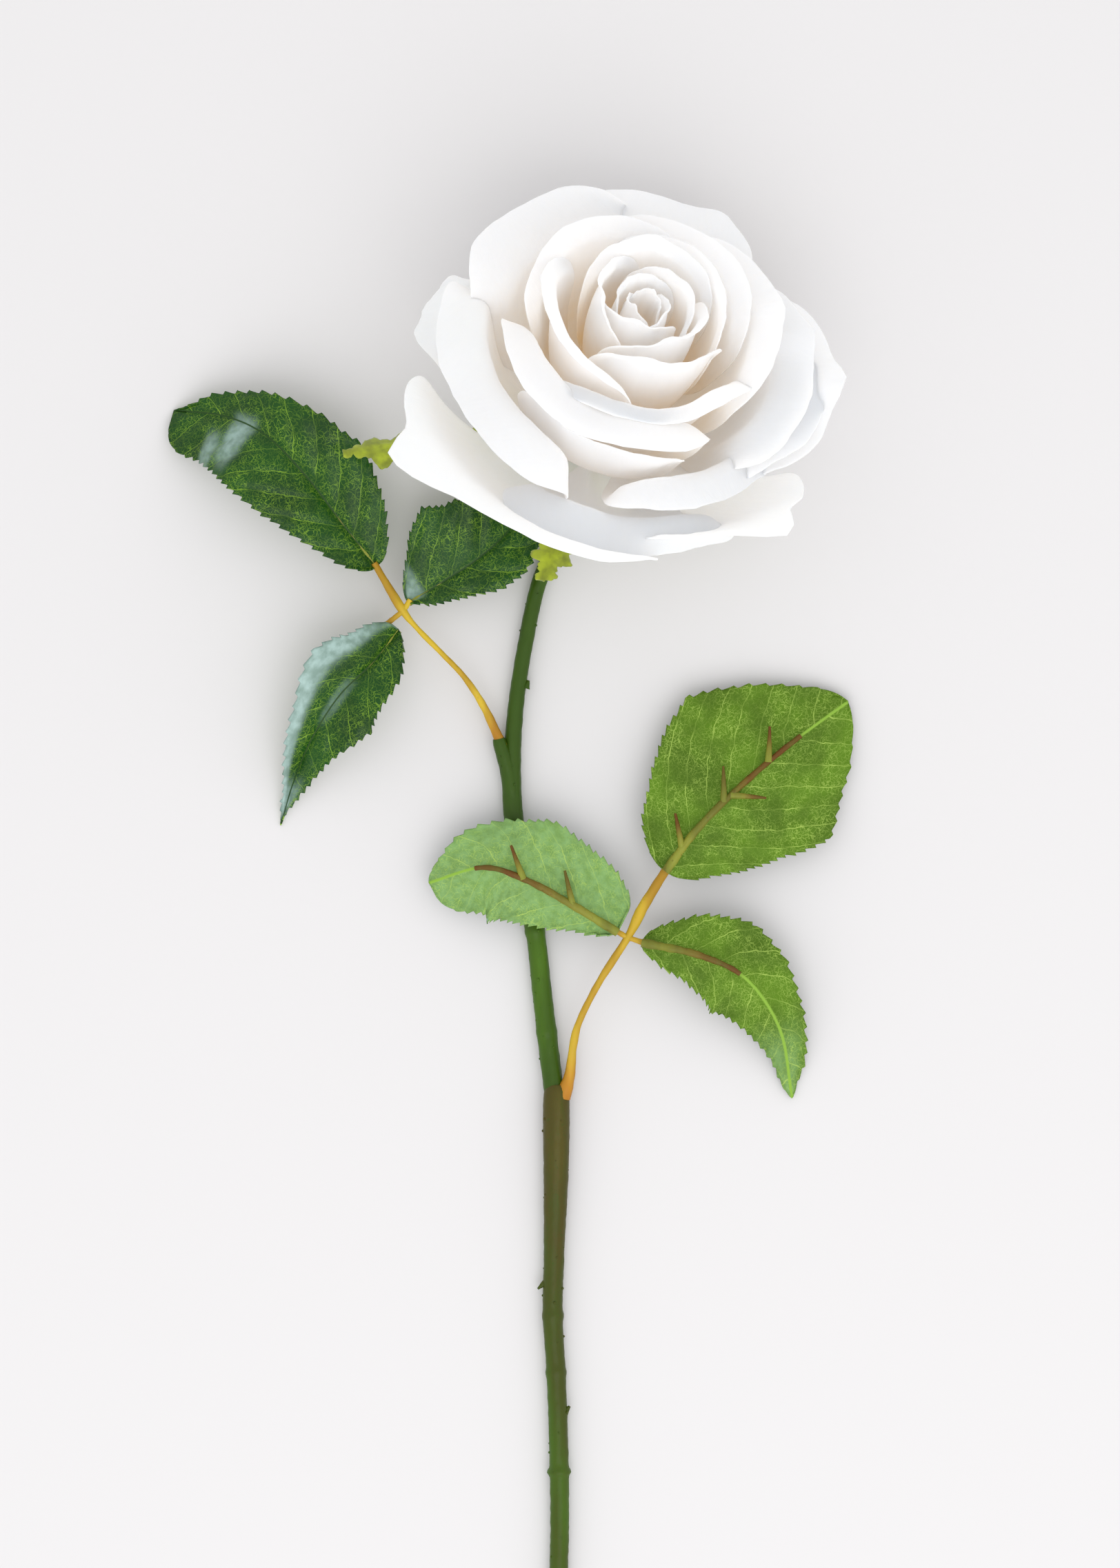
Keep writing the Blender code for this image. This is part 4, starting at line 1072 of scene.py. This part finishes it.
class ROSE_OT_leaves(bpy.types.Operator):
    """Builds the six leaves with teeth, veins and quilting"""

    bl_idname = "rose.leaves"
    bl_label = "Leaves"

    def execute(self, context):
        settings = context.scene.rose_leaves
        face = leaf_material("leaf_face", settings.dark, settings.dark_vein, settings.dark_midrib,
                             settings.dark_glint, faded=0.0, roughness=0.36, coat=0.14)
        back = leaf_material("leaf_back", settings.light, settings.light_vein, settings.light_midrib,
                             settings.light_glint, faded=1.0, roughness=0.6, coat=0.0)
        for name, leaf in LEAVES.items():
            self.leaf(name, leaf, settings, face, back)
        return {"FINISHED"}

    def leaf(self, name, leaf, settings, face, back):
        face_up = leaf.rib_side < 0
        shares = np.linspace(0.0, 1.0, LEAF_STEPS)
        across = np.linspace(-1.0, 1.0, LEAF_COLUMNS)
        share, cross = np.meshgrid(shares, across, indexing="ij")
        length = route_length(smooth_route(leaf.route, 60))
        saw = np.mod(settings.teeth * share + 0.37 * (cross > 0) + 0.05 * leaf.seed, 1.0)
        tooth = settings.tooth / MM * (saw**TOOTH_HOOK - 0.45) * np.abs(cross)**6
        wander = ripple_noise(9 * share + 4 * (cross > 0), leaf.seed) * np.abs(cross)**3
        tooth = tooth + EDGE_WANDER * wander
        tooth = tooth * np.clip(share * 12, 0, 1) * np.clip((1 - share) * 9, 0, 1)
        places, out = leaf_places(leaf, share, cross, 0.0, tooth)
        run = share * length
        vein = (run - VEIN_LEAN * np.abs(out) - VEIN_CURVE * out**2) / VEIN_PITCH + 0.25 * np.sign(out)
        quilt = np.abs(np.sin(math.pi * (vein - 0.5)))**0.7 * np.clip(np.abs(out) / 4, 0, 1)
        quilt = quilt * np.clip((1.05 - np.abs(cross)) * 4, 0, 1)
        wave = EDGE_WAVE * ripple_noise(7 * share + 2.5 * cross, leaf.seed) * np.abs(cross)**2
        groove = -GROOVE_DEPTH * np.exp(-(out / GROOVE_WIDTH)**2)
        relief = (1 if face_up else -1) * (settings.quilt / MM * quilt + groove) + wave
        _, _, _, normal = leaf_frames(leaf, share.ravel())
        places = places + relief[..., None] * normal.reshape(*share.shape, 3)
        uv = np.stack([run / 100.0, 0.5 + out / 100.0], axis=-1).reshape(-1, 2)
        # Painted highlight and sheen: the glints mark where a fold or the underside would catch the light.
        glint = np.zeros(share.shape)
        for place, aside, long, wide, strength in leaf.glints:
            glint += strength * np.exp(-((share - place) / long)**4 - ((cross - aside) / wide)**4)
        materials = [face, back] if face_up else [back, face]
        mesh = sheet_mesh(name + "_silk", places.reshape(-1, 3), grid_faces(LEAF_STEPS, LEAF_COLUMNS),
                          materials, uv, {"glint": np.clip(glint, 0, 1)})
        add_piece(mesh, name, settings.thickness,
                  back_material=1)


class ROSE_OT_ribs(bpy.types.Operator):
    """Builds the plastic ribs with their prongs on the backs of the leaves"""

    bl_idname = "rose.ribs"
    bl_label = "Leaf ribs"

    def execute(self, context):
        settings = context.scene.rose_stem
        tree = rod_tree()
        look = plastic_material("rib_olive", settings.rib, settings.brown, 0.05, 0.85, streaks=400.0)
        forward, across = PRONG_STEP
        for name, leaf in LEAVES.items():
            lift = leaf.rib_side * RIB_LIFT
            shares = np.linspace(0.0, leaf.rib_reach, RIB_SAMPLES)
            spine, _ = leaf_places(leaf, shares, np.zeros(RIB_SAMPLES), np.full(RIB_SAMPLES, lift))
            uneven = 1 + 0.12 * ripple_noise(np.linspace(0, 30, RIB_SAMPLES), 2)
            routes = [np.column_stack([spine, np.linspace(*RIB_RADII, RIB_SAMPLES) * uneven])]
            for share, side in leaf.prongs:
                point, heading, aside, face = leaf_frames(leaf, [share])
                steps = np.linspace(0.0, 1.0, PRONG_SAMPLES)[:, None]
                prong = (point + steps * (forward * heading + side * across * aside)
                         + (lift + leaf.rib_side * PRONG_ARCH * np.sin(math.pi * steps)) * face)
                routes.append(np.column_stack([prong, np.linspace(*PRONG_RADII, PRONG_SAMPLES)]))
            rib = name.replace("leaf", "rib")
            mesh = rod_mesh(rib + "_moulding", routes, tree, {"Material": look, **ROD_FINISH["rib"]})
            add_piece(mesh, rib)
        return {"FINISHED"}


# ---- stage -----------------------------------------------------------------------------------------
class ROSE_OT_stage(bpy.types.Operator):
    """Builds the surface, the soft light and the camera that looks straight down"""

    bl_idname = "rose.stage"
    bl_label = "Stage"

    def execute(self, context):
        settings = context.scene.rose_stage
        scene = context.scene
        material, _, shader = new_material("floor", Roughness=0.9)
        shader.inputs["Specular IOR Level"].default_value = 0.1
        shader.inputs["Base Color"].default_value = (*settings.floor, 1.0)
        mesh = bpy.data.meshes.new("floor")
        grid = bmesh.new()
        bmesh.ops.create_grid(grid, x_segments=1, y_segments=1, size=FLOOR_SIZE)
        grid.to_mesh(mesh)
        grid.free()
        mesh.materials.append(material)
        link_object("floor", mesh)

        world = bpy.data.worlds.new("soft_sky")
        world.use_nodes = True
        sky = world.node_tree.nodes["Background"]
        sky.inputs["Color"].default_value = (1.0, 1.0, 1.0, 1.0)
        sky.inputs["Strength"].default_value = settings.sky
        scene.world = world

        lamp = bpy.data.lights.new("key", "AREA")
        lamp.energy = settings.key
        lamp.size = KEY_SIZE
        light = link_object("key", lamp)
        light.location = Vector(to_metres(KEY_TARGET)) + Vector(KEY_OFFSET)
        light.rotation_euler = (-Vector(KEY_OFFSET)).to_track_quat("-Z", "Y").to_euler()

        lens = bpy.data.cameras.new("camera")
        lens.lens = CAMERA_LENS
        lens.sensor_width = CAMERA_SENSOR
        camera = link_object("camera", lens)
        camera.location = to_metres((0.0, 0.0, CAMERA_HEIGHT))
        scene.camera = camera
        scene.view_settings.view_transform = "Standard"
        return {"FINISHED"}


# ---- add-on ----------------------------------------------------------------------------------------
class ROSE_PT_panel(bpy.types.Panel):
    """Lists the rose's builders and their sizes and colours"""

    bl_label = "Silk Rose"
    bl_idname = "ROSE_PT_panel"
    bl_space_type = "VIEW_3D"
    bl_region_type = "UI"
    bl_category = "Rose"

    def draw(self, context):
        for operator in OPERATORS:
            self.layout.operator(operator.bl_idname)
        for key in SETTINGS:
            box = self.layout.box()
            group = getattr(context.scene, key)
            for prop in group.bl_rna.properties:
                if prop.identifier not in ("name", "rna_type"):
                    box.prop(group, prop.identifier)


SETTINGS = {
    "rose_petals": PetalSettings,
    "rose_calyx": CalyxSettings,
    "rose_stem": StemSettings,
    "rose_leaves": LeafSettings,
    "rose_stage": StageSettings,
}
OPERATORS = (ROSE_OT_petals, ROSE_OT_calyx, ROSE_OT_stem, ROSE_OT_stalks, ROSE_OT_leaves,
             ROSE_OT_ribs, ROSE_OT_stage)


def register():
    for group in SETTINGS.values():
        bpy.utils.register_class(group)
    for key, group in SETTINGS.items():
        setattr(bpy.types.Scene, key, PointerProperty(type=group))
    for operator in OPERATORS:
        bpy.utils.register_class(operator)
    bpy.utils.register_class(ROSE_PT_panel)


def unregister():
    bpy.utils.unregister_class(ROSE_PT_panel)
    for operator in reversed(OPERATORS):
        bpy.utils.unregister_class(operator)
    for key, group in SETTINGS.items():
        delattr(bpy.types.Scene, key)
        bpy.utils.unregister_class(group)


def main():
    register()
    bpy.ops.rose.petals()
    bpy.ops.rose.calyx()
    bpy.ops.rose.stem()
    bpy.ops.rose.stalks()
    bpy.ops.rose.leaves()
    bpy.ops.rose.ribs()
    bpy.ops.rose.stage()


if __name__ == "__main__":
    main()
